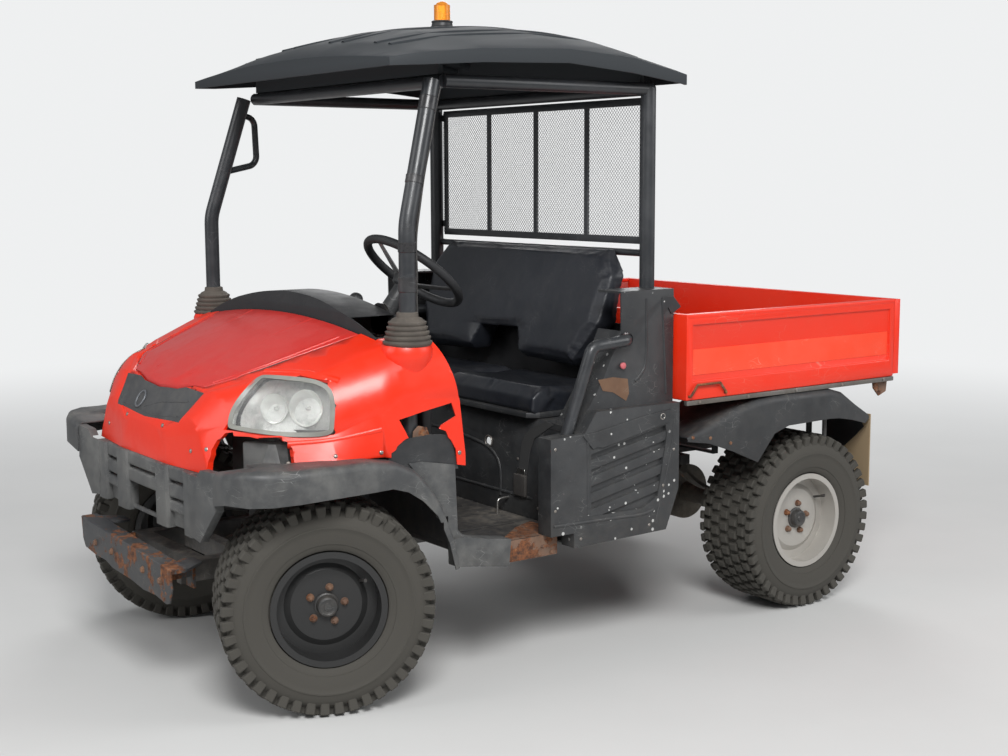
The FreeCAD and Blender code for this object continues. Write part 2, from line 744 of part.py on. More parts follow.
def make_beacon():
    """Makes the beacon on the roof's crown."""
    x = 187.0
    crown = 1999.0
    base = Part.makeCone(34, 30, 24, Vector(x, 0, crown))
    dome = Part.makeCylinder(27, 52, Vector(x, 0, crown + 24)).fuse(Part.makeSphere(27, Vector(x, 0, crown + 62)))
    node("beacon_base", feature("beacon_base", base))
    node("beacon_lens", feature("beacon_lens", dome.removeSplitter()))


def make_screen():
    """Makes the rear screen's frame with its upright bars."""
    x = S.rear_post_x - 16
    half = S.rear_post_y - S.post_radius - 8
    low = size(1290)
    top = S.roof_frame_z - 24
    pieces = [
        block("screen_low", x - 4, x + 4, -half, half, low, low + 24),
        block("screen_top", x - 4, x + 4, -half, half, top - 24, top),
    ]
    for number, share in enumerate((-1.0, -0.5, 0.0, 0.5, 1.0)):
        middle = (half - 12) * share
        pieces.append(block(f"screen_bar_{number}", x - 4, x + 4, middle - 10, middle + 10, low, top))
    for name, side in (("left", 1), ("right", -1)):
        edge = half * side
        for spot, z in (("low", 1320), ("high", 1720)):
            tab = S.rear_post_y * side
            low_y = edge - 12 if side > 0 else tab
            high_y = tab if side > 0 else edge + 12
            pieces.append(block(f"screen_tab_{name}_{spot}", x - 4, x + 4, low_y, high_y, z, z + 24))
    frame = fused("screen_frame", pieces)
    post_space = fused("screen_posts", [
        rod("screen_post_left", S.post_radius + S.seat_gap, S.rear_post_x, S.rear_post_y, 1200, "Z", 700),
        rod("screen_post_right", S.post_radius + S.seat_gap, S.rear_post_x, -S.rear_post_y, 1200, "Z", 700),
    ])
    node("rear_screen", cut("rear_screen", frame, post_space))


# Nose: one lofted outer form gives the fascia, the hood, the lamps and the grille their surfaces

# Nose sections: distance along X, half width and height at the lower edge, at the shoulder
# and at the top's corner, and the crown's height
NOSE_SECTIONS = [
    (1284, 170, 677, 165, 752, 120, 772, 780),
    (1262, 405, 678, 345, 790, 215, 812, 826),
    (1208, 535, 684, 440, 822, 284, 897, 915),
    (1125, 622, 705, 560, 850, 430, 938, 965),
    (1000, 674, 728, 640, 800, 560, 962, 1018),
    (860, 700, 728, 692, 850, 600, 1012, 1068),
    (790, 700, 712, 698, 880, 618, 1036, 1092),
    (585, 700, 673, 700, 880, 655, 1042, 1056),
]


def nose_section(x, half_low, low, half_mid, mid, half_top, top, crown, drop=0.0):
    """Outlines a nose section: sloped sides, rounded shoulders and an arched top."""
    points = [
        Vector(x, -half_low, low - drop), Vector(x, -half_mid, mid), Vector(x, -half_top, top),
        Vector(x, half_top, top), Vector(x, half_mid, mid), Vector(x, half_low, low - drop),
    ]
    bulge = 0.16
    edges = [Part.makeLine(points[0], points[1])]
    for first, last in ((points[1], points[2]), (points[3], points[4])):
        middle = (first + last) / 2
        out = Vector(0, math.copysign(last.z + first.z - 2 * min(first.z, last.z), middle.y), abs(first.y - last.y))
        edges.append(Part.Arc(first, middle + out * bulge, last).toShape())
    edges.insert(2, Part.Arc(points[2], Vector(x, 0, crown), points[3]).toShape())
    edges.append(Part.makeLine(points[4], points[5]))
    edges.append(Part.makeLine(points[5], points[0]))
    return Part.Wire(Part.__sortEdges__(edges))


def nose_loft(inset, drop):
    """Lofts the nose's outer form, or with an inset the hollow behind its wall."""
    rows = []
    for x, half_low, low, half_mid, mid, half_top, top, crown in NOSE_SECTIONS:
        rows.append(nose_section(
            x - inset * 1.6, half_low - inset, low, half_mid - inset, mid - inset * 0.4,
            half_top - inset, top - inset, crown - inset, drop,
        ))
    if inset:
        x, half_low, low, half_mid, mid, half_top, top, crown = NOSE_SECTIONS[-1]
        rows.append(nose_section(
            x - 60, half_low - inset, low, half_mid - inset, mid, half_top - inset, top - inset,
            crown - inset, drop,
        ))
    return Part.makeLoft(rows, True, True)


def plan_prism(corners, low, high):
    """Extrudes a plan outline, given on +Y and mirrored, between two heights."""
    points = [Vector(x, y, low) for x, y in corners]
    points += [Vector(x, -y, low) for x, y in reversed(corners) if y]
    face = Part.Face(Part.makePolygon(points + points[:1]))
    return face.extrude(Vector(0, 0, high - low))


def front_prism(corners, start, stop):
    """Extrudes a front outline of Y and Z along X."""
    face = Part.Face(Part.makePolygon([Vector(start, y, z) for y, z in corners + corners[:1]]))
    return face.extrude(Vector(stop - start, 0, 0))


def side_prism(corners, start, stop):
    """Extrudes a side outline of X and Z along Y."""
    face = Part.Face(Part.makePolygon([Vector(x, start, z) for x, z in corners + corners[:1]]))
    return face.extrude(Vector(0, stop - start, 0))


def flipped(shape):
    """Mirrors a shape to the other side of the vehicle."""
    return shape.mirror(Vector(), Vector(0, 1, 0))


def grown_prism(corners, growth, start, stop):
    """Extrudes a side outline along Y after it has grown by an amount all round."""
    outline = Part.makePolygon([Vector(x, start, z) for x, z in corners + corners[:1]])
    sharp_corners = 2
    face = Part.Face(outline.makeOffset2D(growth, sharp_corners))
    return face.extrude(Vector(0, stop - start, 0))


def lip_section(x, y, z, turn, lean, lip, reach, radius):
    """Outlines a sheet that rounds over into a lip, across one place of its outer edge."""
    wall = float(S.panel_wall)
    corner = Vector(x, y, z)
    out = Vector(math.sin(math.radians(turn)), math.cos(math.radians(turn)), 0)
    up = Vector(-math.sin(math.radians(lean)), 0, math.cos(math.radians(lean)))
    bend = min(radius, lip * 0.6)
    diagonal = math.sqrt(0.5)
    outer_middle = corner - (out + up) * bend * (1 - diagonal)
    inner_middle = corner - (out + up) * (bend - (bend - wall) * diagonal)
    spots = [
        corner - out * reach, corner - out * bend, corner - up * bend, corner - up * lip,
        corner - up * lip - out * wall, corner - up * bend - out * wall,
        corner - out * bend - up * wall, corner - out * reach - up * wall,
    ]
    edges = [Part.makeLine(first, last) for first, last in zip(spots, spots[1:] + spots[:1])]
    edges[1] = Part.Arc(spots[1], outer_middle, spots[2]).toShape()
    edges[5] = Part.Arc(spots[5], inner_middle, spots[6]).toShape()
    return Part.Wire(edges)


def lip_loft(rows, radius):
    """Lofts a sheet with a rounded lip through its sections."""
    return Part.makeLoft([lip_section(*row, radius) for row in rows], True, True)


HOOD_PLAN = [(800, 478), (1000, 408), (1142, 352), (1200, 262), (1222, 120), (1228, 0)]
GRILLE_OUTLINE = [(-284, 893), (0, 905), (284, 893), (232, 806), (0, 796), (-232, 806)]
LAMP_OUTLINE = [(425, 806), (480, 930), (530, 956), (600, 945), (642, 880), (646, 798)]
# Holes broken out of the near fender: side outline of the rear one, front outline of the fore one
HOLE_REAR = [(809, 829), (730, 845), (632, 862), (618, 822), (668, 800), (690, 770), (773, 762), (790, 795)]
HOLE_FRONT = [(498, 690), (492, 745), (512, 760), (530, 792), (600, 798), (632, 775), (655, 735), (668, 700), (668, 640), (498, 640)]


def make_nose():
    """Makes the fascia with its fenders, the hood, the grille insert and the headlamps."""
    wall = float(S.panel_wall)
    gap = float(S.running_gap)
    outer = nose_loft(0.0, 0.0)
    shell = outer.cut(nose_loft(wall, 80.0))
    hood_plan = plan_prism(HOOD_PLAN, 840, 1200)
    rear = HOOD_PLAN[0][0]
    inset = [(x + gap if x == rear else x - gap, max(y - gap, 0.0)) for x, y in HOOD_PLAN]
    inset_plan = plan_prism(inset, 840, 1200)
    hood = outer.cut(nose_loft(wall - float(S.seat_gap), 80.0)).common(inset_plan)
    grown = plan_prism([(x, y + 10 if y else 0) for x, y in HOOD_PLAN], 840, 1200)
    shrunk = plan_prism([(x - 14, max(y - 16, 0)) if y else (x - 14, 0) for x, y in HOOD_PLAN], 800, 1240)
    ledge = nose_loft(wall, 80.0).cut(nose_loft(wall * 2, 90.0)).common(grown).cut(shrunk)
    ledge = ledge.cut(Part.makeBox(120, 1200, 400, Vector(700, -600, 800)))
    grille_prism = front_prism(GRILLE_OUTLINE, 1100, 1400)
    lamps = front_prism(LAMP_OUTLINE, 900, 1400)
    lamps = lamps.fuse(flipped(lamps))
    thick = outer.cut(nose_loft(26.0, 80.0))
    grille = thick.common(grille_prism).cut(hood_plan)
    lamp_shapes = thick.common(lamps)
    rear_slope = side_prism([(500, 600), (581, 673), (604, 867), (668, 1060), (668, 1200), (500, 1200)], -800, 800)
    cowl_space = Part.makeBox(300, 1120, 300, Vector(500, -560, 960))
    fascia = shell.cut([hood_plan, grille_prism.cut(hood_plan), lamps, rear_slope, cowl_space])
    fascia = fascia.fuse(ledge.cut(thick.common(grille_prism).cut(hood_plan)))
    post_y = float(S.front_post_y)
    for side in (1, -1):
        post_hole = Part.makeCylinder(float(S.post_radius) + 8, 600, Vector(float(S.front_post_x), side * post_y, 700))
        fascia = fascia.cut(post_hole)
    fascia = fascia.cut([side_prism(HOLE_REAR, 640, 760), front_prism(HOLE_FRONT, 1120, 1400)])
    solids = sorted(fascia.Solids, key=lambda solid: solid.Volume)
    node("front_fascia", feature("front_fascia", solids[-1].removeSplitter()))
    hood_solid = sorted(hood.Solids, key=lambda solid: solid.Volume)[-1]
    node("hood", feature("hood", hood_solid.removeSplitter()))
    node("grille_insert", feature("grille_insert", sorted(grille.Solids, key=lambda solid: solid.Volume)[-1]))
    pair = sorted(lamp_shapes.Solids, key=lambda solid: solid.Volume)[-2:]
    for name, solid in zip(("left", "right"), sorted(pair, key=lambda solid: -solid.CenterOfMass.y)):
        node(f"headlamp_{name}", feature(f"headlamp_{name}", solid))


# Flare sections from the foot over the arch to the front corner: place of the outer edge, turn
# of the outward way in plan, lean of the upward way to the rear, lip's height, sheet's reach
FLARE_SECTIONS = [
    (642, 758, 388, 0, 77, 18, 60),
    (662, 758, 478, 0, 61, 22, 60),
    (698, 758, 571, 0, 46, 30, 60),
    (740, 758, 641, 0, 34, 50, 60),
    (790, 758, 692, 0, 25, 66, 64),
    (850, 758, 719, 0, 14, 74, 70),
    (930, 758, 731, 0, 0, 86, 90),
    (1046, 758, 731, 0, 0, 88, 120),
    (1150, 746, 728, 0, 0, 90, 130),
    (1225, 726, 731, 30, 0, 96, 135),
    (1273, 682, 731, 55, 0, 99, 135),
    (1295, 635, 728, 75, 0, 96, 135),
    (1300, 596, 721, 90, 0, 92, 135),
    (1300, 520, 709, 90, 0, 95, 135),
]
FLARE_ROUND = 24.0
# Grey panel at the cab's corner and the foot under it, seen from the side
CORNER_PANEL = [
    (623, 700), (780, 700), (728, 637), (686, 567), (648, 474), (632, 386), (541, 386), (541, 432),
    (565, 432), (614, 484),
]
FLARE_FOOT = [(644, 386), (591, 379), (459, 358), (451, 441), (542, 455), (614, 470), (655, 470)]
# Lining behind the holes of the near fender: side outline of the rear one, front outline of the fore one
LINING_REAR = [(618, 640), (786, 640), (786, 742), (772, 770), (700, 775), (640, 768)]
LINING_FRONT = [(540, 650), (536, 770), (612, 774), (638, 735), (654, 702), (654, 650)]


def make_flares():
    """Makes the front wheel flares with their rounded lips, corner panels, feet and linings."""
    wall = float(S.panel_wall)
    skin = float(S.cab_half_width)
    seat = float(S.seat_gap)
    foot_inner = skin - 12 + seat
    foot_outer = 742.0
    foot = side_prism(FLARE_FOOT, foot_inner, foot_outer)
    foot = foot.cut(grown_prism(FLARE_FOOT, -wall, foot_inner - 10, foot_outer - wall))
    panel = side_prism(CORNER_PANEL, skin - wall - 3, skin)
    floor_space = Part.makeBox(150, 140, 300, Vector(float(S.toe_x) - 143.7, 548.3, 360))
    wheel_space = Part.makeCylinder(
        float(S.wheel_sweep_radius), 230, Vector(float(S.front_axle_x), float(S.kingpin_y), 300))
    body = lip_loft(FLARE_SECTIONS, FLARE_ROUND).fuse([panel, foot])
    body = body.cut([nose_loft(-seat * 3, seat * 3), floor_space, wheel_space])
    rear_lining = side_prism(LINING_REAR, skin - wall - 6, skin - wall - 2)
    front_low, front_high, rest = 1124.0, 1208.0, 722.0
    front_lining = front_prism(LINING_FRONT, front_low, front_high)
    behind_skin = front_lining.common(nose_loft(12.0, 0.0))
    under_sheet = front_lining.common(Part.makeBox(200, 300, 200, Vector(front_low, 450, rest - 200)))
    near = body.fuse([rear_lining, behind_skin, under_sheet])
    near = main_solid(near)
    far = flipped(main_solid(body))
    node("front_flares", group("front_flares", [feature("flare_left", near), feature("flare_right", far)]))


def main_solid(shape):
    """Returns a shape's largest solid, without the slivers that a cut leaves beside it."""
    return max(shape.Solids, key=lambda solid: solid.Volume).removeSplitter()


# Guard: outline of a corner plate, and the slats of a bay from their low to their high edge
GUARD_CORNER = [(345, 676.7), (345, 500), (415, 490), (522, 598), (519.7, 612), (519.7, 704), (430, 700), (402, 676.7)]
GUARD_LOW = 497.0
GUARD_HIGH = 676.7
GUARD_SLATS = [(634.0, 676.7), (582.0, 626.0), (540.0, 574.0)]
GUARD_RIBS = [(150.0, 44.0), (330.0, 34.0)]


def bowed_band(front, sag, half, depth, low, high):
    """Makes an upright band that is bowed forward in plan."""
    edges = []
    for x in (front, front - depth):
        edges.append(Part.Arc(Vector(x - sag, -half, low), Vector(x, 0, low), Vector(x - sag, half, low)).toShape())
    for side in (1, -1):
        edges.append(Part.makeLine(Vector(front - sag, side * half, low), Vector(front - depth - sag, side * half, low)))
    face = Part.Face(Part.Wire(Part.__sortEdges__(edges)))
    return face.extrude(Vector(0, 0, high - low))


def rounded_front(shape, radius, upright):
    """Rounds a bar's front edges: the upright ones or the long ones."""
    front = shape.BoundBox.XMax - 15
    chosen = []
    for edge in shape.Edges:
        box = edge.BoundBox
        is_upright = box.ZLength > box.YLength
        if box.XMax > front and box.XMin > front - 12 and is_upright == upright and max(box.ZLength, box.YLength) > 30:
            chosen.append(edge)
    return shape.makeFillet(radius, chosen)


def make_guard():
    """Makes the moulded guard between the flares with its ribs, slats and openings."""
    sag = 12.0
    half = 345.0
    back = bowed_band(1280, sag, half, 8, GUARD_LOW, GUARD_HIGH)
    opening = Part.makeBox(120, 212, 72, Vector(1220, -106, 508))
    pieces = []
    for low, high in GUARD_SLATS:
        slat = rounded_front(bowed_band(1293, sag, half, 18, low, high), 9, False)
        pieces.append(slat.cut(opening))
    slots = []
    for (low, _), (_, high) in zip(GUARD_SLATS, GUARD_SLATS[1:]):
        slots.append(Part.makeBox(120, 2 * half - 20, low - high, Vector(1220, 10 - half, high)))
    body = back.cut([opening] + slots).fuse(pieces)
    ribs = []
    for middle, width in GUARD_RIBS:
        for y in (middle, -middle):
            rib = front_prism([(y - width, GUARD_LOW - 6), (y + width, GUARD_LOW - 6),
                               (y + width, GUARD_HIGH), (y - width, GUARD_HIGH)], 1262, 1302 - abs(y) / 40)
            ribs.append(rounded_front(rib, 12, True))
    corner = front_prism(GUARD_CORNER, 1270, 1296)
    corner = corner.cut(front_prism([(360, 500), (360, 676.7), (505, 690), (505, 610), (412, 508)], 1260, 1290))
    body = body.fuse(ribs + [corner, flipped(corner)])
    node("front_guard", feature("front_guard", body.removeSplitter()))


BUMPER_OUTLINE = [
    (-350, 422), (-338, 352), (-318, 328), (-230, 322), (-150, 326), (-90, 316), (60, 318), (150, 312), (240, 320),
    (318, 314), (338, 322), (354, 366), (345, 398), (350, 422),
]
BUMPER_STRAP = [(1240, 244), (1240, 296), (1312, 350), (1354, 350), (1354, 312), (1284, 244)]


def make_bumper():
    """Makes the bent steel bumper, its lower edge uneven, with its straps and brackets."""
    face = float(S.half_length)
    reach = float(S.bumper_reach)
    sheet_thick = 6.0
    web = front_prism(BUMPER_OUTLINE, face - sheet_thick, face)
    flange = Part.makeBox(52, 700, 5, Vector(face - 52, -350, 417))
    channel = web.fuse(flange).removeSplitter()
    top = channel.BoundBox.ZMax
    roll = [edge for edge in channel.Edges if edge.BoundBox.ZMin > top - 0.1 and edge.BoundBox.XMin > face - 0.1]
    channel = channel.makeFillet(4.5, roll)
    straps = []
    for side in (1, -1):
        points = [Vector(x, side * y, 410) for x, y in BUMPER_STRAP]
        strap_face = Part.Face(Part.makePolygon(points + points[:1]))
        straps.append(strap_face.extrude(Vector(0, 0, 7.5)))
    channel = channel.fuse(straps)
    channel.rotate(Vector(face, 0, 370), Vector(1, 0, 0), -2.6)
    brackets = []
    for side in (1, -1):
        brackets.append(Part.makeBox(reach - 5, 8, 50, Vector(face - reach, side * 216 - 4, 340)))
        brackets.append(Part.makeBox(8, 50, 60, Vector(face - reach, side * 215 - 25, 310)))
    bumper = channel.fuse(brackets).removeSplitter()
    node("front_bumper", feature("front_bumper", bumper))


def make_cowl():
    """Makes the black cowl behind the hood and the dash that hangs under it."""
    front, back, low = 797.0, 640.0, 1030.0
    wall = float(S.panel_wall)
    arc = Part.Arc(Vector(back, -556, low + 18), Vector(back, 0, 1150), Vector(back, 556, low + 18)).toShape()
    foot = [Vector(back, 556, low + 18), Vector(back, 556, low), Vector(back, -556, low), Vector(back, -556, low + 18)]
    edges = [arc] + [Part.makeLine(a, b) for a, b in zip(foot, foot[1:])]
    body = Part.Face(Part.Wire(edges)).extrude(Vector(front - back, 0, 0))
    slope = side_prism([(780, 1152), (830, 1040), (830, 1300), (740, 1300)], -600, 600)
    rear = side_prism([(640, 1090), (676, 1200), (600, 1200), (600, 1090)], -600, 600)
    body = body.cut([slope, rear])
    hollow = Part.makeBox(front - back - 2 * wall, 1104, 76, Vector(back + wall, -552, low - 10))
    node("cowl", feature("cowl", body.cut(hollow)))
    dash = Part.makeBox(back - float(S.seat_gap) - 602, 1104, low - 650, Vector(602, -552, 650))
    node("dash_panel", feature("dash_panel", dash))


def make_floor():
    """Makes the cab floor with its toe board and the rusty sill plates."""
    sheet_low = S.floor_z - S.floor_sheet
    half = S.cab_half_width - 12
    inner = S.side_inner_y - S.seat_gap
    step = size(206.5)
    plan = [(S.seat_front_x, -inner), (step, -inner), (step, -half), (S.toe_x, -half),
            (S.toe_x, half), (step, half), (step, inner), (S.seat_front_x, inner)]
    floor = prism("floor_sheet_metal", "XY_Plane", plan, sheet_low, S.floor_sheet)
    toe = block("toe_board", S.toe_x, S.toe_x + 6, -600, 600, sheet_low, 650)
    ledge = block("toe_ledge", S.toe_x, 620, -600, 600, 644, 650)
    node("floor_pan", fused("floor_pan", [floor, toe, ledge]))
    plate = block("sill_plate", 240, 440, half + S.seat_gap, half + 6, 354, S.floor_z)
    foot = block("sill_foot", 240, 440, half - 60, half + 6, 354, 359)
    node("rockers", both_sides("rockers", fused("rocker_left", [plate, foot])))


def make_seat_base():
    """Makes the hollow seat base with its hatch opening."""
    wall = S.panel_wall
    half = S.seat_base_half
    low = S.floor_z + S.seat_gap
    outer = block("seat_box", -150, S.seat_front_x, -half, half, low, S.seat_base_z)
    inner = block("seat_hollow", -200, S.seat_front_x - wall, -(half - wall), half - wall, low - 20, S.seat_base_z - wall)
    shell = cut("seat_shell", outer, inner)
    hole = rod("seat_hole", 14, S.seat_front_x - 20, 260, 640, "X", 60)
    node("seat_base", cut("seat_base", shell, hole))


def make_seats():
    """Makes the two cushions on the base and the seat back."""
    low = S.seat_base_z + S.seat_gap
    height = S.cushion_height
    for name, y0, y1 in (("driver", 14, 545), ("passenger", -545, -14)):
        side_view = [(-140, low), (205, low), (230, low + 22), (226, low + height * 0.75),
                     (190, low + height), (20, low + height * 0.86), (-140, low + height * 0.86)]
        node(f"seat_cushion_{name}", prism(f"seat_cushion_{name}", "XZ_Plane", side_view, y0, y1 - y0))
    rear = float(S.rear_post_x - SEAT_BAR_BACK + SEAT_BAR_RADIUS + S.seat_gap)
    side_view = [(-118, 880), (-40, 878), (-8, 905), (-135, 1262), (-158, 1292), (rear, 1286), (rear, 1230)]
    back = side_prism(side_view, -535, 535)
    corner = 110.0
    cuts = []
    for side in (1, -1):
        cuts.append(front_prism([
            (side * 540, 1300), (side * 540, 1300 - corner), (side * (540 - corner * 0.7), 1300),
        ], -260, 60))
        cuts.append(front_prism([
            (side * 540, 870), (side * 540, 870 + corner * 1.6), (side * (540 - corner), 870),
        ], -260, 60))
    notch = front_prism([(-165, 860), (-120, 972), (90, 980), (165, 860)], -260, 60)
    node("seat_back", feature("seat_back", back.cut(cuts + [notch])))


PANEL_SIDE = [
    (-12, 1152), (-14, 1030), (60, 880), (165, 728), (297, 721), (297, 421), (206, 421), (206, 374),
    (-172, 380), (-232, 520), (-232, 1152),
]
PANEL_BULGE = [
    (120, 790), (165, 728), (297, 721), (297, 421), (206, 421), (206, 374), (-172, 380), (-225, 510), (-225, 790),
]


# Louvred recess of a side panel, and the front ends of its slanted ribs
LOUVRE_RECESS = [(140, 660), (-166, 722), (-172, 690), (-136, 494), (-70, 462), (140, 464)]
LOUVRE_RIBS = [640.0, 588.0, 536.0, 484.0]


def make_side_panels():
    """Makes the hollow panels beside the seat, with a bulged, louvred lower part."""
    wall = float(S.panel_wall)
    high = float(S.side_skin_high)
    low = float(S.side_skin_low)
    inner = float(S.side_inner_y)
    centre = Vector(20, 0, 700)
    shrink = 0.985
    outer = side_prism(PANEL_SIDE, inner, high).fuse(side_prism(PANEL_BULGE, inner, low))
    hollow = side_prism(PANEL_SIDE, inner - 20, high - wall).fuse(side_prism(PANEL_BULGE, inner - 20, low - wall))
    moved = hollow.copy()
    moved.scale(shrink, Vector(centre.x, inner - 20, centre.z))
    body = outer.cut(moved)
    depth = 12.0
    pan = grown_prism(LOUVRE_RECESS, wall, low - depth - wall, low - 1)
    body = body.fuse(pan).cut(side_prism(LOUVRE_RECESS, low - depth, low + 20))
    slats = []
    slope, rib_height, rib_reach = 0.2, 30.0, 320.0
    for front_z in LOUVRE_RIBS:
        rear_z = front_z + slope * rib_reach
        corners = [(144, front_z), (144 - rib_reach, rear_z), (144 - rib_reach, rear_z - rib_height), (144, front_z - rib_height)]
        slat = side_prism(corners, low - depth - 1, low - 3)
        slats.append(slat.common(grown_prism(LOUVRE_RECESS, 2.0, low - depth - 1, low - 3)))
    body = body.fuse(slats)
    post = Part.makeCylinder(float(S.post_radius) + 2, 900, Vector(float(S.rear_post_x), float(S.rear_post_y), 400))
    hip = tube_shape(hip_bar_path(), HIP_BAR_RADIUS + 3, HIP_BAR_BEND)
    beam = Part.makeBox(56, 80, 60, Vector(-217, inner - 10, 360))
    body = body.cut([post, hip, beam])
    solid = sorted(body.Solids, key=lambda item: item.Volume)[-1].removeSplitter()
    node("side_panel_left", feature("side_panel_left", solid))
    node("side_panel_right", feature("side_panel_right", flipped(solid)))


HIP_BAR_RADIUS = 19.0
HIP_BAR_BEND = 34.0


def hip_bar_path():
    """Lists the corners of the left hip bar, from its foot on the floor to the rear post."""
    return [
        (216, 684, S.floor_z + S.seat_gap), (216, 684, 560), (206, 692, 716), (119, 712, 990),
        (-20, 712, 1000), (-60, 660, 1000), (-164, 622, 1000),
    ]


def make_handles():
    """Makes the hip bars beside the seat and the grab handle on the far front post."""
    post = Part.makeCylinder(float(S.post_radius + S.seat_gap), 200, Vector(float(S.rear_post_x), float(S.rear_post_y), 900))
    hip = tube_shape(hip_bar_path(), HIP_BAR_RADIUS, HIP_BAR_BEND).cut(post)
    node("hip_bars", both_sides("hip_bars", feature("hip_bar_left", hip)))
    path = [(655, 612, 1738), (572, 632, 1714), (562, 640, 1556), (722, 634, 1522)]
    handle = tube_shape(path, 11, 36).cut(front_post_shape(float(S.seat_gap)))
    kept = [solid for solid in handle.Solids if solid.BoundBox.XMin < 600]
    node("grab_handle", feature("grab_handle", flipped(kept[0])))


def make_steering():
    """Makes the steering wheel and its column."""
    tilt = math.radians(float(S.column_tilt))
    axis = Vector(-math.cos(tilt), 0, math.sin(tilt))
    centre = Vector(float(S.steering_wheel_x), float(S.steering_wheel_y), float(S.steering_wheel_z))
    ring_radius = float(S.steering_wheel_radius)
    grip = float(S.steering_grip)
    ring = Part.makeTorus(ring_radius, grip, centre, axis)
    dish = centre - axis * 45
    hub = Part.makeCylinder(42, 34, dish - axis * 10, axis)
    across = Vector(0, 1, 0)
    down = axis.cross(across)
    spokes = []
    for turn in (90.0, 210.0, 330.0):
        way = across * math.cos(math.radians(turn)) - down * math.sin(math.radians(turn))
        start = dish + way * 25
        end = centre + way * (ring_radius - 2)
        spokes.append(Part.makeCylinder(8, (end - start).Length, start, end - start))
    node("steering_wheel", feature("steering_wheel", ring.fuse([hub] + spokes).removeSplitter()))
    top = dish - axis * (10 + float(S.seat_gap))
    length = 420.0
    column = Part.makeCylinder(26, length, top - axis * length, axis)
    cowl_side = Part.makeBox(300, 400, 400, Vector(640 - float(S.seat_gap), centre.y - 200, 800))
    dash_top = Part.makeBox(200, 400, 330 + float(S.seat_gap), Vector(602 - float(S.seat_gap), centre.y - 200, 700))
    node("steering_column", feature("steering_column", column.cut([cowl_side, dash_top])))


def make_controls():
    """Makes the gear lever on the dash, the parking brake and the pedals."""
    lever = bent_tube("gear_lever_rod", [(602 - S.seat_gap, 0, 1008), (566, 0, 1008), (536, 0, 1090)], 7, 20)
    ball = feature("gear_lever_ball", Part.makeSphere(23, Vector(536, 0, 1112)))
    gear = fused("gear_lever", [lever, ball])
    node("gear_lever", gear)
    brake = bent_tube("brake_rod", [(60, 560, S.seat_base_z + S.seat_gap), (60, 560, 810), (-20, 560, 900)], 12, 16)
    node("parking_brake", brake)
    pedals = []
    for name, y, width in (("brake", 300, 70), ("throttle", 160, 50)):
        pad = block(f"{name}_pad", 500, 510, y, y + width, 470, 560)
        arm = block(f"{name}_arm", 508, S.toe_x - S.seat_gap, y + width / 2 - 8, y + width / 2 + 8, 530, 546)
        pedals.append(fused(f"{name}_pedal", [pad, arm]))
    node("pedals", group("pedals", pedals))


# Rear body


# Rear fender sections from its rear end to its front tip, measured as the flare's are
REAR_FENDER_SECTIONS = [
    (-1181, 716, 655, 0, 50, 44, 236),
    (-1072, 748, 705, 0, 30, 60, 268),
    (-985, 758, 757, 0, 14, 92, 278),
    (-920, 760, 775, 0, 4, 104, 280),
    (-706, 760, 776, 0, 0, 108, 280),
    (-640, 758, 775, 0, 0, 128, 278),
    (-568, 752, 768, 0, 0, 212, 272),
    (-468, 740, 741, 0, 0, 140, 260),
    (-366, 728, 700, 0, 0, 62, 248),
    (-280, 718, 665, 0, 0, 14, 238),
]
REAR_FENDER_ROUND = 26.0


def make_rear_fenders():
    """Makes the moulded rear fenders and the flaps that hang behind them."""
    outer = float(S.rail_y + S.rail_width)
    stays = []
    # stay: distance along X, top of its upright
    for x, top in ((-640, 773), (-1120, 680)):
        stays.append(Part.makeBox(24, 488 - outer, 8, Vector(x, outer, 540)))
        stays.append(Part.makeBox(24, 8, top - 540, Vector(x, 480, 540)))
    fender = lip_loft(REAR_FENDER_SECTIONS, REAR_FENDER_ROUND).fuse(stays).removeSplitter()
    node("rear_fenders", both_sides("rear_fenders", feature("rear_fender_left", fender)))
    end = REAR_FENDER_SECTIONS[0]
    flap_low = 392.0
    flap = Part.makeBox(5, 224, end[2] - flap_low, Vector(end[0] - 5 - float(S.seat_gap), 484, flap_low))
    node("mud_flaps", both_sides("mud_flaps", feature("mud_flap_left", flap)))
    lamp = Part.makeBox(24, 70, 90, Vector(-1234, 150, 505))
    node("tail_lamps", both_sides("tail_lamps", feature("tail_lamp_left", lamp)))


def make_drawbar():
    """Makes the drawbar with its pin hole at the rear."""
    end = -S.half_length
    bar = block("drawbar_plate", end, -1210, -30, 30, S.rail_rear_z - 60, S.rail_rear_z - 48)
    riser = block("drawbar_riser", -1222, -1210, -60, 60, S.rail_rear_z - 60, S.rail_rear_z + S.rail_height)
    hole = rod("drawbar_hole", 10, end + 30, 0, S.rail_rear_z - 80, "Z", 60)
    node("drawbar", cut("drawbar", fused("drawbar_body", [bar, riser]), hole))


GATE_HINGE_Z = 801.0


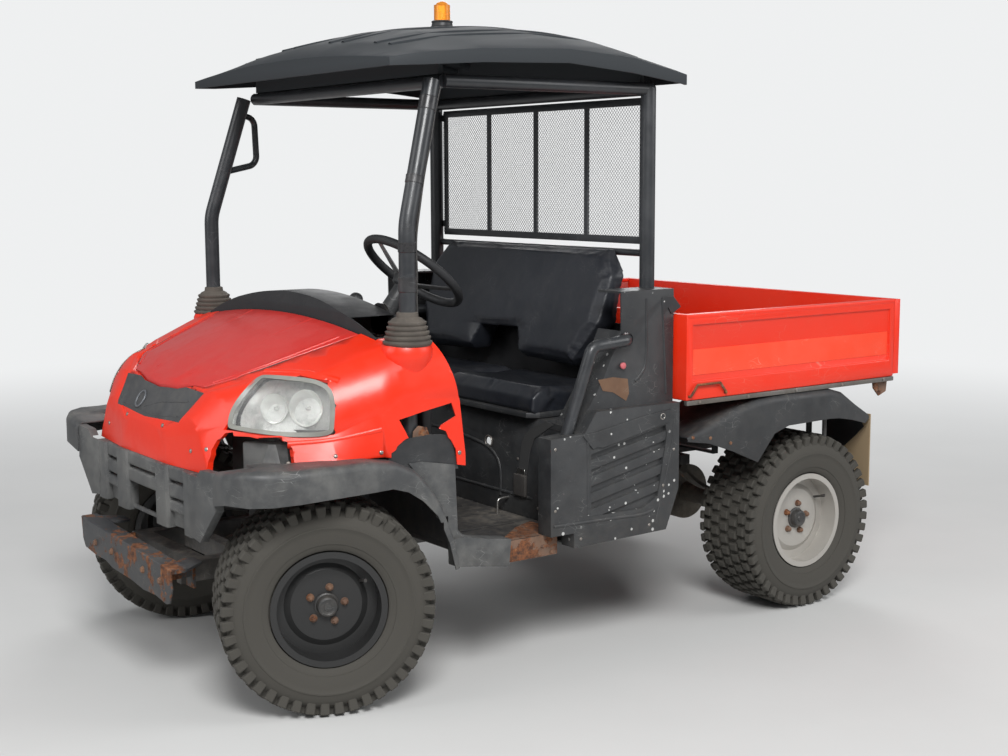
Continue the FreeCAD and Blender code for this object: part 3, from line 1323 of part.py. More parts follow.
def make_bed():
    """Makes the tipping bed: floor with its rails and hinge ears, walls and tailgate."""
    half = S.bed_half_width
    wall = S.bed_wall
    front = S.bed_front_x
    rear = S.bed_rear_x + wall
    deck_low = S.bed_low_z
    deck_top = S.bed_low_z + 8
    floor = block("bed_deck", rear, front - wall, -(half - wall), half - wall, deck_top - S.bed_floor_sheet, deck_top)
    pieces = [floor]
    for name, side in (("left", 1), ("right", -1)):
        y0 = size(250) if side > 0 else size(-290)
        rail = block(f"bed_rail_{name}", S.bed_hinge_x - 28, front - wall - 5, y0, y0 + 40, S.bed_hinge_z - 10 + S.seat_gap, deck_top - S.bed_floor_sheet)
        ear = rod(f"bed_ear_{name}", S.hinge_radius + 12, S.bed_hinge_x, y0, S.bed_hinge_z, "Y", 40)
        pieces += [rail, ear]
    for number, x in enumerate((-1249, -1130, -920, -700, -480, -318)):
        pieces.append(block(
            f"bed_bearer_{number}", x, x + 36, -(half - wall), half - wall, deck_low - 8, deck_top - S.bed_floor_sheet))
    barrel = S.gate_hinge_radius
    lug_low = deck_top - S.bed_floor_sheet - 6
    for name, side in (("left", 1), ("right", -1)):
        for spot, inner_edge in (("outer", 560), ("inner", 440)):
            y0 = size(inner_edge) if side > 0 else size(-inner_edge - 40)
            pin = rod(f"gate_pin_{name}_{spot}", barrel, S.bed_rear_x, y0, GATE_HINGE_Z, "Y", 40)
            lug = block(f"gate_lug_{name}_{spot}", S.bed_rear_x, rear + 8, y0, y0 + 40, lug_low, lug_low + 6)
            pieces += [pin, lug]
    bore = S.hinge_radius + S.seat_gap
    holes = [rod(f"bed_bore_{name}", bore, S.bed_hinge_x, y0, S.bed_hinge_z, "Y", 60) for name, y0 in (("left", 240), ("right", -300))]
    node("bed_floor", cut("bed_floor", fused("bed_floor_solid", pieces), group("bed_bores", holes)))
    top = S.bed_high_z
    sides = []
    for name, side in (("left", 1), ("right", -1)):
        y0 = half - wall if side > 0 else -half
        panel = block(f"bed_side_{name}", rear, front, y0, y0 + wall, deck_low, top)
        recess_y = half - 8 if side > 0 else -half - 8
        recess = block(f"bed_recess_{name}", rear + 24, front - 24, recess_y, recess_y + 16, deck_low + 60, top - 34)
        sides.append(cut(f"bed_panel_{name}", panel, recess))
    sides.append(block("bed_front_wall", front - wall, front, -half, half, deck_low, top))
    node("bed_walls", fused("bed_walls", sides))
    loops = []
    for name, side in (("left", 1), ("right", -1)):
        wall_y = float(half) + float(S.seat_gap)
        loop = [(-255, side * wall_y, 806), (-255, side * 755, 806), (-285, side * 755, 842),
                (-385, side * 755, 842), (-415, side * 755, 806), (-415, side * wall_y, 806)]
        loops.append(bent_tube(f"bed_loop_{name}", loop, 4, 4.5))
    node("bed_loops", group("bed_loops", loops))
    gate = block("gate_sheet", S.bed_rear_x, rear - S.seat_gap, -half, half, deck_top + S.seat_gap, top)
    dish = block("gate_dish", S.bed_rear_x - 10, S.bed_rear_x + 8, -(half - 40), half - 40, deck_top + 40, top - 40)
    barrels = []
    spaces = [dish]
    for name, side in (("left", 1), ("right", -1)):
        y0 = size(480 + S.seat_gap) if side > 0 else size(-560 + S.seat_gap)
        barrels.append(rod(f"gate_barrel_{name}", barrel, S.bed_rear_x, y0, GATE_HINGE_Z, "Y", 80 - S.seat_gap * 2))
        for spot, inner_edge in (("outer", 560), ("inner", 440)):
            y1 = inner_edge - S.seat_gap if side > 0 else -size(inner_edge) - 40 - S.seat_gap
            spaces.append(rod(
                f"gate_space_{name}_{spot}", barrel + 6, S.bed_rear_x, y1, GATE_HINGE_Z, "Y", 40 + S.seat_gap * 2))
    sheet_cut = cut("gate_cut", gate, group("gate_spaces", spaces))
    node("tailgate", fused("tailgate", [sheet_cut] + barrels))


def make_belts():
    """Makes the seat belt that hangs over the front of the seat base."""
    x = float(S.seat_front_x)
    strap = Part.makeBox(2, 46, 150, Vector(x + 0.3, 400, 590))
    tongue = Part.makeBox(9, 52, 70, Vector(x + 0.3, 397, 520))
    node("seat_belt", feature("seat_belt", strap.fuse(tongue)))


def write_parts():
    """Checks every object and writes one STEP file for each node."""
    doc.recompute()
    for item in doc.Objects:
        if "Invalid" in item.State or "Error" in item.State:
            raise RuntimeError(f"{item.Label} didn't compute: {item.State}")
    os.makedirs("parts", exist_ok=True)
    for item in nodes:
        shape = item.Shape
        if shape.isNull() or not shape.isValid() or not shape.Solids:
            raise RuntimeError(f"{item.Label} has no valid solid")
        shape.exportStep(f"parts/{item.Label}.step")
        print(item.Label, len(shape.Solids), round(shape.Volume / 1000))


STEPS = [
    make_frame, make_rear_axle, make_front_axle, make_front_suspension, make_engine, make_knuckles,
    make_tie_bar, make_wheels, make_front_posts, make_rear_hoop, make_post_boots, make_roof,
    make_beacon, make_screen, make_nose, make_flares, make_guard, make_bumper, make_cowl,
    make_floor, make_seat_base, make_seats, make_side_panels, make_handles, make_steering,
    make_controls, make_rear_fenders, make_drawbar, make_bed, make_belts,
]
for step in STEPS:
    step()
write_parts()
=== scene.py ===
"""Looks for a weathered side by side utility vehicle with a tipping bed.

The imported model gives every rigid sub-part its place. This script gives each one its finish,
adds the small pieces that a maker fits last, pads the seats and sets up a plain studio.
Every length is in metres: +X BACKWARD, +Y to the driver's side, +Z up.
"""

import logging
import math
from contextlib import contextmanager
from dataclasses import dataclass, field
from enum import Enum
from functools import cache
from typing import Callable, Iterator, Sequence

import bmesh
import bpy
from mathutils import Matrix, Vector
from mathutils.bvhtree import BVHTree


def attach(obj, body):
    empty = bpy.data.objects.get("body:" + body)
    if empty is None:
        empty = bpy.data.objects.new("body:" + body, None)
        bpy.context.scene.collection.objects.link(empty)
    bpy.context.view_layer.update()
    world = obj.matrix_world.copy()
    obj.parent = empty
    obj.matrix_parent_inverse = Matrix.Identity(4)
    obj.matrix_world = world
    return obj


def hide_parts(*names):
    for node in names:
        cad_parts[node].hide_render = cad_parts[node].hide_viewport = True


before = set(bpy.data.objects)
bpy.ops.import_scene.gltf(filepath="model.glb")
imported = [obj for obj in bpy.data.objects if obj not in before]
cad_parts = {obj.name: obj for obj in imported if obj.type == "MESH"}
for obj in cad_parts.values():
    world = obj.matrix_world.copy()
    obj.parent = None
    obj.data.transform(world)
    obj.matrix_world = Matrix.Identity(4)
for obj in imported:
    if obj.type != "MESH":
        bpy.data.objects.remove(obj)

LOG = logging.getLogger("side_by_side")
Colour = tuple[float, float, float]
Place = Sequence[float]
Piece = bpy.types.Object
Socket = bpy.types.NodeSocket
Sockets = bpy.types.bpy_prop_collection


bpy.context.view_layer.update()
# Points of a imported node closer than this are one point
WELD = 0.00002


# Modelling by hand


def deselect() -> None:
    """Leaves edit mode and deselects every object."""
    if bpy.context.object and bpy.context.object.mode != "OBJECT":
        bpy.ops.object.mode_set(mode="OBJECT")
    bpy.ops.object.select_all(action="DESELECT")


def activate(piece: Piece) -> None:
    """Makes a piece the only selected and active object."""
    deselect()
    piece.select_set(True)
    bpy.context.view_layer.objects.active = piece


def settle(piece: Piece, name: str) -> Piece:
    """Moves an object's place into its mesh and names it.

    Args:
        piece: The object, placed in the vehicle's frame.
        name: The piece's name.

    Returns:
        The same object, at the origin.
    """
    activate(piece)
    bpy.ops.object.transform_apply(location=True, rotation=True, scale=True)
    piece.name = name
    piece.data.name = name
    return piece


@contextmanager
def editing(piece: Piece) -> Iterator[None]:
    """Opens edit mode on a piece with everything selected, and leaves it at the end.

    Args:
        piece: The piece to edit.

    Yields:
        Nothing: the edit operators act on the piece meanwhile.
    """
    activate(piece)
    bpy.ops.object.mode_set(mode="EDIT")
    bpy.ops.mesh.select_all(action="SELECT")
    yield
    bpy.ops.object.mode_set(mode="OBJECT")


def box(name: str, low: Place, high: Place) -> Piece:
    """Adds a box between two corners.

    Args:
        name: The piece's name.
        low: The lower corner.
        high: The higher corner.

    Returns:
        The box.
    """
    deselect()
    middle = [(a + b) / 2 for a, b in zip(low, high)]
    bpy.ops.mesh.primitive_cube_add(size=1.0, location=middle)
    piece = bpy.context.object
    piece.scale = [abs(b - a) for a, b in zip(low, high)]
    return settle(piece, name)


def along(direction: Vector) -> Matrix:
    """Returns the turn that takes +Z to a direction."""
    return direction.to_track_quat("Z", "Y").to_matrix().to_4x4()


def rod(name: str, start: Place, end: Place, radius: float, sides: int = 24) -> Piece:
    """Adds a round bar between two points.

    Args:
        name: The piece's name.
        start: Where it starts.
        end: Where it ends.
        radius: Its radius.
        sides: How many sides a circle has.

    Returns:
        The bar.
    """
    deselect()
    first, last = Vector(start), Vector(end)
    bpy.ops.mesh.primitive_cylinder_add(vertices=sides, radius=radius, depth=(last - first).length)
    piece = bpy.context.object
    piece.matrix_world = Matrix.Translation((first + last) / 2) @ along(last - first)
    return settle(piece, name)


def turned(name: str, profile: Sequence[tuple[float, float]], place: Place, axis: Place, sides: int = 48) -> Piece:
    """Extrudes a circle from ring to ring, as on a lathe.

    Args:
        name: The piece's name.
        profile: Distance along the axis and radius of each ring.
        place: The point that the distances start from.
        axis: The direction of the axis.
        sides: How many sides the circle has.

    Returns:
        The turned piece, with closed ends.
    """
    deselect()
    spot, radius = profile[0]
    bpy.ops.mesh.primitive_circle_add(vertices=sides, radius=radius, fill_type="NGON", location=(0, 0, spot))
    piece = bpy.context.object
    bpy.ops.object.mode_set(mode="EDIT")
    bpy.ops.mesh.select_mode(type="EDGE")
    bpy.ops.mesh.select_all(action="SELECT")
    for index, ((before, old), (after, new)) in enumerate(zip(profile, profile[1:])):
        if index == 0:
            bpy.ops.mesh.extrude_region_move(TRANSFORM_OT_translate={"value": (0, 0, after - before)})
        else:
            bpy.ops.mesh.extrude_edges_move(TRANSFORM_OT_translate={"value": (0, 0, after - before)})
        bpy.ops.transform.resize(value=(new / old, new / old, 1), center_override=(0, 0, after))
    bpy.ops.mesh.edge_face_add()
    bpy.ops.mesh.select_all(action="SELECT")
    bpy.ops.mesh.normals_make_consistent(inside=False)
    bpy.ops.object.mode_set(mode="OBJECT")
    settle(piece, name)
    piece.data.transform(Matrix.Translation(Vector(place)) @ along(Vector(axis)))
    return piece


def drawn(name: str, points: Sequence[Place], kind: str = "POLY") -> Piece:
    """Adds a curve object through a line of points.

    Args:
        name: The piece's name.
        points: The line's control points.
        kind: POLY for a closed outline of straight runs, NURBS for a smooth open line.

    Returns:
        The curve object.
    """
    deselect()
    curve = bpy.data.curves.new(name, "CURVE")
    curve.dimensions = "3D"
    spline = curve.splines.new(kind)
    spline.points.add(len(points) - 1)
    for control, point in zip(spline.points, points):
        control.co = (*point, 1.0)
    spline.use_cyclic_u = kind == "POLY"
    piece = bpy.data.objects.new(name, curve)
    bpy.context.scene.collection.objects.link(piece)
    return piece


def meshed(piece: Piece, name: str) -> Piece:
    """Turns a curve object into a mesh at the origin.

    Args:
        piece: The curve object.
        name: The piece's name.

    Returns:
        The mesh object.
    """
    activate(piece)
    bpy.ops.object.convert(target="MESH")
    return settle(bpy.context.object, name)


def pipe(name: str, points: Sequence[Place], radius: float) -> Piece:
    """Sweeps a round section along a smooth line.

    Args:
        name: The piece's name.
        points: The line's control points.
        radius: The tube's radius.

    Returns:
        The tube as a mesh.
    """
    piece = drawn(name, points, "NURBS")
    spline = piece.data.splines[0]
    spline.order_u = 3
    spline.use_endpoint_u = True
    spline.resolution_u = 6
    piece.data.bevel_depth = radius
    piece.data.bevel_resolution = 4
    piece.data.use_fill_caps = True
    return meshed(piece, name)


def copied(node: str, name: str) -> Piece:
    """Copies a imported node's mesh into a new piece and merges its loose triangles.

    Args:
        node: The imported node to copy.
        name: The piece's name.

    Returns:
        The copy.
    """
    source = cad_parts[node]
    piece = bpy.data.objects.new(name, source.data.copy())
    piece.data.materials.clear()
    bpy.context.scene.collection.objects.link(piece)
    with editing(piece):
        bpy.ops.mesh.remove_doubles(threshold=WELD)
    return piece


def bevelled(piece: Piece, width: float, segments: int = 2, angle: float = 35.0) -> Piece:
    """Rounds a piece's sharp edges with a bevel and shades it smooth.

    Args:
        piece: The piece.
        width: The width of the rounded edge.
        segments: How many faces round an edge.
        angle: Edges sharper than this, in degrees, are rounded.

    Returns:
        The same piece.
    """
    activate(piece)
    bevel = piece.modifiers.new("edges", "BEVEL")
    bevel.width = width
    bevel.segments = segments
    bevel.limit_method = "ANGLE"
    bevel.angle_limit = math.radians(angle)
    bevel.harden_normals = False
    bpy.ops.object.modifier_apply(modifier=bevel.name)
    return smoothed(piece)


def smoothed(piece: Piece, angle: float = 38.0) -> Piece:
    """Shades faces smooth where they meet at a low angle."""
    activate(piece)
    bpy.ops.object.shade_smooth_by_angle(angle=math.radians(angle))
    return piece


def joined(pieces: Sequence[Piece], name: str) -> Piece:
    """Joins pieces into one object.

    Args:
        pieces: The pieces.
        name: The piece's name.

    Returns:
        The joined piece.
    """
    activate(pieces[0])
    for piece in pieces[1:]:
        piece.select_set(True)
    if len(pieces) > 1:
        bpy.ops.object.join()
    piece = bpy.context.object
    piece.name = name
    return piece


def twin(piece: Piece, name: str, move: Matrix) -> Piece:
    """Copies a piece with its own mesh and moves the copy.

    Args:
        piece: The piece to copy.
        name: The piece's name.
        move: The move.

    Returns:
        The copy.
    """
    copy = bpy.data.objects.new(name, piece.data.copy())
    bpy.context.scene.collection.objects.link(copy)
    copy.data.transform(move)
    if move.determinant() < 0:
        with editing(copy):
            bpy.ops.mesh.flip_normals()
    return copy


OTHER_SIDE = Matrix.Diagonal((1, -1, 1, 1))
UPWARD, DOWNWARD = (0, 0, 1), (0, 0, -1)
FORWARD, BACKWARD = (1, 0, 0), (-1, 0, 0)
LEFTWARD, RIGHTWARD = (0, 1, 0), (0, -1, 0)


class Plane(Enum):
    """The plane that an outline is drawn on, and the way that its level is measured."""

    SIDE = ((1, 0, 0), (0, 0, -1), (0, 1, 0))
    FRONT = ((0, 0, 1), (1, 0, 0), (0, 1, 0))
    TOP = ((1, 0, 0), (0, 1, 0), (0, 0, 1))

    @property
    def turn(self) -> Matrix:
        """Returns the turn from the outline's own axes to the vehicle's."""
        return Matrix(self.value).to_4x4()

    @property
    def way(self) -> Vector:
        """Returns the direction that a level counts along."""
        return {Plane.SIDE: Vector((0, 1, 0)), Plane.FRONT: Vector((1, 0, 0)), Plane.TOP: Vector((0, 0, 1))}[self]


def plate(name: str, outline: Sequence[tuple[float, float]], thick: float, plane: Plane, level: float,
          soft: float = 0.0006) -> Piece:
    """Fills an outline and gives it thickness and slightly rounded edges.

    Args:
        name: The piece's name.
        outline: The corners: X and Z on the side plane, Y and Z on the front one, X and Y on the top one.
        thick: The plate's thickness.
        plane: The plane that the outline is drawn on.
        level: Where the plate's middle lies along the plane's way.
        soft: The radius of the rounded edges.

    Returns:
        The plate as a mesh.
    """
    piece = drawn(name, [(across, up, 0.0) for across, up in outline])
    piece.data.dimensions = "2D"
    piece.data.fill_mode = "BOTH"
    piece.data.extrude = thick / 2 - soft
    piece.data.bevel_depth = soft
    piece.data.bevel_resolution = 1
    piece.data.offset = -soft
    piece = meshed(piece, name)
    piece.data.transform(Matrix.Translation(plane.way * level) @ plane.turn)
    return piece


def pick(piece: Piece, test: Callable[[Vector, Vector], bool]) -> None:
    """Enters edit mode with the faces selected whose middle and normal pass a test.

    Args:
        piece: The piece.
        test: Takes a face's middle and normal, and tells whether it counts.
    """
    activate(piece)
    bpy.ops.object.mode_set(mode="EDIT")
    bpy.ops.mesh.select_mode(type="FACE")
    mesh = bmesh.from_edit_mesh(piece.data)
    for face in mesh.faces:
        face.select = test(face.calc_center_median(), face.normal)
    mesh.select_flush_mode()
    bmesh.update_edit_mesh(piece.data)


def keep(piece: Piece, test: Callable[[Vector, Vector], bool]) -> Piece:
    """Deletes the faces that fail a test."""
    pick(piece, lambda middle, normal: not test(middle, normal))
    bpy.ops.mesh.delete(type="FACE")
    bpy.ops.object.mode_set(mode="OBJECT")
    return piece


def thickened(piece: Piece, wall: float, offset: float = -1.0) -> Piece:
    """Gives a sheet a wall; an offset of -1 grows it inwards and 1 outwards.

    Args:
        piece: The piece.
        wall: The wall's thickness.
        offset: -1 to grow inwards, 1 outwards, 0 both ways.

    Returns:
        The same piece.
    """
    activate(piece)
    solid = piece.modifiers.new("wall", "SOLIDIFY")
    solid.thickness = wall
    solid.offset = offset
    bpy.ops.object.modifier_apply(modifier=solid.name)
    return piece


def carved(piece: Piece, *cutters: Piece) -> Piece:
    """Cuts other pieces' shapes out of a piece and removes the cutters.

    Args:
        piece: The piece.
        cutters: The pieces whose shapes are cut out.

    Returns:
        The same piece.
    """
    for cutter in cutters:
        with editing(cutter):
            bpy.ops.mesh.remove_doubles(threshold=WELD / 2)
            bpy.ops.mesh.normals_make_consistent(inside=False)
        activate(piece)
        cut = piece.modifiers.new("cut", "BOOLEAN")
        cut.operation = "DIFFERENCE"
        cut.solver = "EXACT"
        cut.object = cutter
        bpy.ops.object.modifier_apply(modifier=cut.name)
        bpy.data.objects.remove(cutter)
    return piece


def rounded(node: str, name: str, width: float, segments: int = 2) -> Piece:
    """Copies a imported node, joins its flat triangles and rounds its edges."""
    piece = copied(node, name)
    with editing(piece):
        bpy.ops.mesh.dissolve_limited(angle_limit=math.radians(0.6))
    return bevelled(piece, width, segments)


@cache
def surface(node: str) -> BVHTree:
    """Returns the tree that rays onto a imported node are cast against."""
    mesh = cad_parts[node].data
    return BVHTree.FromPolygons([vertex.co for vertex in mesh.vertices], [face.vertices for face in mesh.polygons])


def landed(node: str, start: Place, way: Place) -> tuple[Vector, Vector]:
    """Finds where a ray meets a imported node.

    Args:
        node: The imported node.
        start: Where the ray starts.
        way: The ray's direction.

    Returns:
        The point that is met and the surface's normal there, facing the ray.
    """
    place, normal, _, _ = surface(node).ray_cast(Vector(start), Vector(way).normalized())
    if place is None:
        raise ValueError(f"nothing of {node} lies ahead of {tuple(start)}")
    return place, normal if normal.dot(Vector(way)) < 0 else -normal


def ridge(name: str, node: str, starts: Sequence[Place], way: Place, radius: float, sink: float) -> Piece:
    """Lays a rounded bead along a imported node's surface, sunk into it by a part of its radius.

    Args:
        name: The piece's name.
        node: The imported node.
        starts: Where the rays start.
        way: The direction.
        radius: Its radius.
        sink: How deep it sinks, as a part of its radius.

    Returns:
        The bead.
    """
    points = []
    for start in starts:
        place, normal = landed(node, start, way)
        points.append(place - normal * radius * sink)
    return smoothed(pipe(name, points, radius))


def screws(name: str, aims: Sequence[tuple[str, Place, Place]], radius: float = 0.0055, sides: int = 14) -> Piece:
    """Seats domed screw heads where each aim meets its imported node.

    Args:
        name: The piece's name.
        aims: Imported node, start and direction of each ray.
        radius: Its radius.
        sides: How many sides a circle has.

    Returns:
        The screw heads as one piece.
    """
    heads = []
    for node, start, way in aims:
        place, normal = landed(node, start, way)
        profile = (
            (-0.0015, radius), (radius * 0.2, radius), (radius * 0.42, radius * 0.8), (radius * 0.55, radius * 0.3),
        )
        heads.append(turned("head", profile, place, normal, sides))
    return smoothed(joined(heads, name))


def bolt(name: str, place: Place, way: Place, radius: float, height: float) -> Piece:
    """Models a hexagonal bolt head on its washer."""
    washer = turned("washer", ((-0.001, radius * 1.25), (0.0016, radius * 1.25), (0.002, radius)), place, way, 16)
    head = turned("head", ((0.001, radius), (height * 0.85, radius), (height, radius * 0.8)), place, way, 6)
    return smoothed(joined([washer, head], name), 30.0)


def both(piece: Piece, name: str) -> Piece:
    """Adds a piece's mirror image on the other side and joins the two."""
    return joined([piece, twin(piece, name + "_right", OTHER_SIDE)], name)


# Shader trees


class Tree:
    """A node tree that grows one node at a time."""

    def __init__(self, tree: bpy.types.NodeTree) -> None:
        """Keeps the tree that the nodes go into."""
        self.tree = tree

    def add(self, kind: str, **settings: object) -> bpy.types.Node:
        """Adds a node and sets its options."""
        node = self.tree.nodes.new(kind)
        for key, value in settings.items():
            setattr(node, key, value)
        return node

    def feed(self, socket: Socket, value: object) -> None:
        """Links a socket to an output, or sets its value.

        Args:
            socket: The input to feed.
            value: An output or a plain value.
        """
        if isinstance(value, Socket):
            self.tree.links.new(value, socket)
        elif isinstance(value, tuple) and len(value) == 3 and socket.type == "RGBA":
            socket.default_value = (*value, 1.0)
        else:
            socket.default_value = value

    def math(self, operation: str, first: object, second: object = 0.0) -> Socket:
        """Adds a Math node."""
        node = self.add("ShaderNodeMath", operation=operation, use_clamp=False)
        self.feed(node.inputs[0], first)
        self.feed(node.inputs[1], second)
        return node.outputs[0]

    def times(self, first: object, second: object) -> Socket:
        """Multiplies two values."""
        return self.math("MULTIPLY", first, second)

    def mix(self, factor: object, first: object, second: object) -> Socket:
        """Mixes two colours.

        Args:
            factor: How much of the second.
            first: The first input.
            second: The second input.

        Returns:
            The colour's socket.
        """
        node = self.add("ShaderNodeMix", data_type="RGBA", clamp_factor=True)
        self.feed(node.inputs[0], factor)
        self.feed(node.inputs[6], first)
        self.feed(node.inputs[7], second)
        return node.outputs[2]

    def span(self, value: object, low: float, high: float, start: float = 0.0, stop: float = 1.0) -> Socket:
        """Maps a value smoothly from one span to another."""
        node = self.add("ShaderNodeMapRange", interpolation_type="SMOOTHSTEP")
        for number, item in enumerate((value, low, high, start, stop)):
            self.feed(node.inputs[number], item)
        return node.outputs[0]

    def noise(self, vector: object, scale: object, detail: float = 4.0, rough: float = 0.55) -> Socket:
        """Adds a noise texture's value.

        Args:
            vector: The coordinates.
            scale: The pattern's scale.
            detail: How many octaves.
            rough: How strong the fine octaves are.

        Returns:
            The value's socket.
        """
        node = self.add("ShaderNodeTexNoise")
        self.feed(node.inputs["Vector"], vector)
        self.feed(node.inputs["Scale"], scale)
        self.feed(node.inputs["Detail"], detail)
        self.feed(node.inputs["Roughness"], rough)
        return node.outputs["Fac"]


FLOAT = "NodeSocketFloat"


@dataclass(frozen=True)
class Effect:
    """A shader node group that more than one finish uses."""

    name: str
    inputs: tuple[tuple[str, str, float], ...]
    outputs: tuple[tuple[str, str], ...]
    build: Callable[[Tree, Sockets, Sockets], None]

    def group(self) -> bpy.types.NodeTree:
        """Returns the node group, built the first time that it is asked for.

        Returns:
            The node group.
        """
        if self.name in bpy.data.node_groups:
            return bpy.data.node_groups[self.name]
        group = bpy.data.node_groups.new(self.name, "ShaderNodeTree")
        for name, kind, value in self.inputs:
            socket = group.interface.new_socket(name, in_out="INPUT", socket_type=kind)
            if kind == FLOAT:
                socket.default_value = value
        for name, kind in self.outputs:
            group.interface.new_socket(name, in_out="OUTPUT", socket_type=kind)
        tree = Tree(group)
        self.build(tree, tree.add("NodeGroupInput").outputs, tree.add("NodeGroupOutput").inputs)
        return group

    def place(self, tree: Tree, **values: object) -> bpy.types.Node:
        """Places the effect in a material with its own values."""
        node = tree.add("ShaderNodeGroup", node_tree=self.group())
        for name, value in values.items():
            tree.feed(node.inputs[name.replace("_", " ").title()], value)
        return node


def build_blotches(tree: Tree, given: Sockets, made: Sockets) -> None:
    """Makes soft patches of wear at two sizes.

    Args:
        tree: The group's tree.
        given: The group's inputs.
        made: The group's outputs.
    """
    coarse = tree.noise(given["Vector"], given["Scale"], 3.0)
    finer = tree.times(given["Scale"], 6.0)
    fine = tree.noise(given["Vector"], finer, 6.0, 0.65)
    total = tree.math("ADD", tree.times(coarse, 0.65), tree.times(fine, 0.35))
    tree.feed(made["Mask"], tree.span(total, 0.38, 0.66))


def build_scuffs(tree: Tree, given: Sockets, made: Sockets) -> None:
    """Makes thin scratches and rubbed spots.

    Args:
        tree: The group's tree.
        given: The group's inputs.
        made: The group's outputs.
    """
    warp = tree.add("ShaderNodeTexNoise")
    tree.feed(warp.inputs["Vector"], given["Vector"])
    tree.feed(warp.inputs["Scale"], given["Scale"])
    stretch = tree.add("ShaderNodeMapping")
    mixed = tree.add("ShaderNodeMix", data_type="VECTOR")
    tree.feed(mixed.inputs[0], 0.12)
    tree.feed(mixed.inputs[4], given["Vector"])
    tree.feed(mixed.inputs[5], warp.outputs["Color"])
    tree.feed(stretch.inputs["Vector"], mixed.outputs[1])
    stretch.inputs["Scale"].default_value = (1.0, 1.0, 3.5)
    stretch.inputs["Rotation"].default_value = (0.5, 0.3, 0.4)
    cells = tree.add("ShaderNodeTexVoronoi", feature="DISTANCE_TO_EDGE")
    tree.feed(cells.inputs["Vector"], stretch.outputs["Vector"])
    tree.feed(cells.inputs["Scale"], tree.times(given["Scale"], 3.0))
    lines = tree.span(cells.outputs["Distance"], 0.0, 0.02, 1.0, 0.0)
    patches = tree.span(tree.noise(given["Vector"], tree.times(given["Scale"], 1.7), 5.0), 0.52, 0.7)
    spots = tree.span(tree.noise(given["Vector"], tree.times(given["Scale"], 9.0), 8.0, 0.75), 0.62, 0.7)
    rubbed = tree.times(spots, patches)
    total = tree.math("MAXIMUM", tree.times(lines, patches), rubbed)
    tree.feed(made["Mask"], tree.times(total, given["Amount"]))


def build_dust(tree: Tree, given: Sockets, made: Sockets) -> None:
    """Settles dust on what faces up and mud near the ground.

    Args:
        tree: The group's tree.
        given: The group's inputs.
        made: The group's outputs.
    """
    geometry = tree.add("ShaderNodeNewGeometry")
    split = tree.add("ShaderNodeSeparateXYZ")
    tree.feed(split.inputs[0], geometry.outputs["Normal"])
    up = tree.span(split.outputs["Z"], 0.1, 1.0, 0.25, 1.0)
    grain = tree.span(tree.noise(given["Vector"], 26.0, 8.0, 0.7), 0.35, 0.75)
    cloud = tree.span(tree.noise(given["Vector"], 3.2, 4.0), 0.3, 0.7, 0.35, 1.0)
    place = tree.add("ShaderNodeSeparateXYZ")
    tree.feed(place.inputs[0], given["Vector"])
    near = tree.add("ShaderNodeMapRange", interpolation_type="SMOOTHSTEP")
    for number, item in enumerate((place.outputs["Z"], 0.0, given["Height"], 1.0, 0.0)):
        tree.feed(near.inputs[number], item)
    settled = tree.times(tree.times(up, cloud), grain)
    mud = tree.times(near.outputs[0], tree.math("ADD", tree.times(grain, 0.7), 0.2))
    total = tree.math("ADD", tree.times(settled, given["Amount"]), tree.times(mud, given["Mud"]))
    tree.feed(made["Mask"], tree.math("MINIMUM", total, 1.0))


def build_rust(tree: Tree, given: Sockets, made: Sockets) -> None:
    """Makes rust that eats through paint in patches with ragged rims.

    Args:
        tree: The group's tree.
        given: The group's inputs.
        made: The group's outputs.
    """
    patch = tree.noise(given["Vector"], given["Scale"], 9.0, 0.68)
    limit = tree.math("SUBTRACT", 0.78, tree.times(given["Amount"], 0.5))
    over = tree.math("SUBTRACT", patch, limit)
    mask = tree.span(over, 0.0, 0.035)
    tone = tree.noise(given["Vector"], 55.0, 7.0, 0.7)
    dark = tree.mix(tree.span(tone, 0.35, 0.6), (0.045, 0.018, 0.01), (0.19, 0.065, 0.022))
    pale = tree.mix(tree.span(tone, 0.56, 0.72), dark, (0.36, 0.16, 0.06))
    tree.feed(made["Mask"], mask)
    tree.feed(made["Color"], pale)
    tree.feed(made["Height"], tree.times(mask, tone))


def build_grain(tree: Tree, given: Sockets, made: Sockets) -> None:
    """Makes the fine relief of a moulded or cast surface.

    Args:
        tree: The group's tree.
        given: The group's inputs.
        made: The group's outputs.
    """
    cells = tree.add("ShaderNodeTexVoronoi", feature="SMOOTH_F1")
    tree.feed(cells.inputs["Vector"], given["Vector"])
    tree.feed(cells.inputs["Scale"], given["Scale"])
    fine = tree.noise(given["Vector"], given["Scale"], 3.0)
    total = tree.math("ADD", tree.times(cells.outputs["Distance"], 0.7), tree.times(fine, 0.5))
    tree.feed(made["Height"], total)


def build_specks(tree: Tree, given: Sockets, made: Sockets) -> None:
    """Makes small splashes of pale paint, thicker in some places.

    Args:
        tree: The group's tree.
        given: The group's inputs.
        made: The group's outputs.
    """
    cells = tree.add("ShaderNodeTexVoronoi", feature="F1")
    tree.feed(cells.inputs["Vector"], given["Vector"])
    tree.feed(cells.inputs["Scale"], 44.0)
    tint = tree.add("ShaderNodeSeparateColor")
    tree.feed(tint.inputs[0], cells.outputs["Color"])
    size = tree.span(tint.outputs["Red"], 0.4, 1.0, 0.02, 0.24)
    spot = tree.math("LESS_THAN", cells.outputs["Distance"], size)
    thick = tree.span(tree.noise(given["Vector"], 4.5, 3.0), 0.46, 0.55)
    tree.feed(made["Mask"], tree.times(tree.times(spot, thick), given["Amount"]))


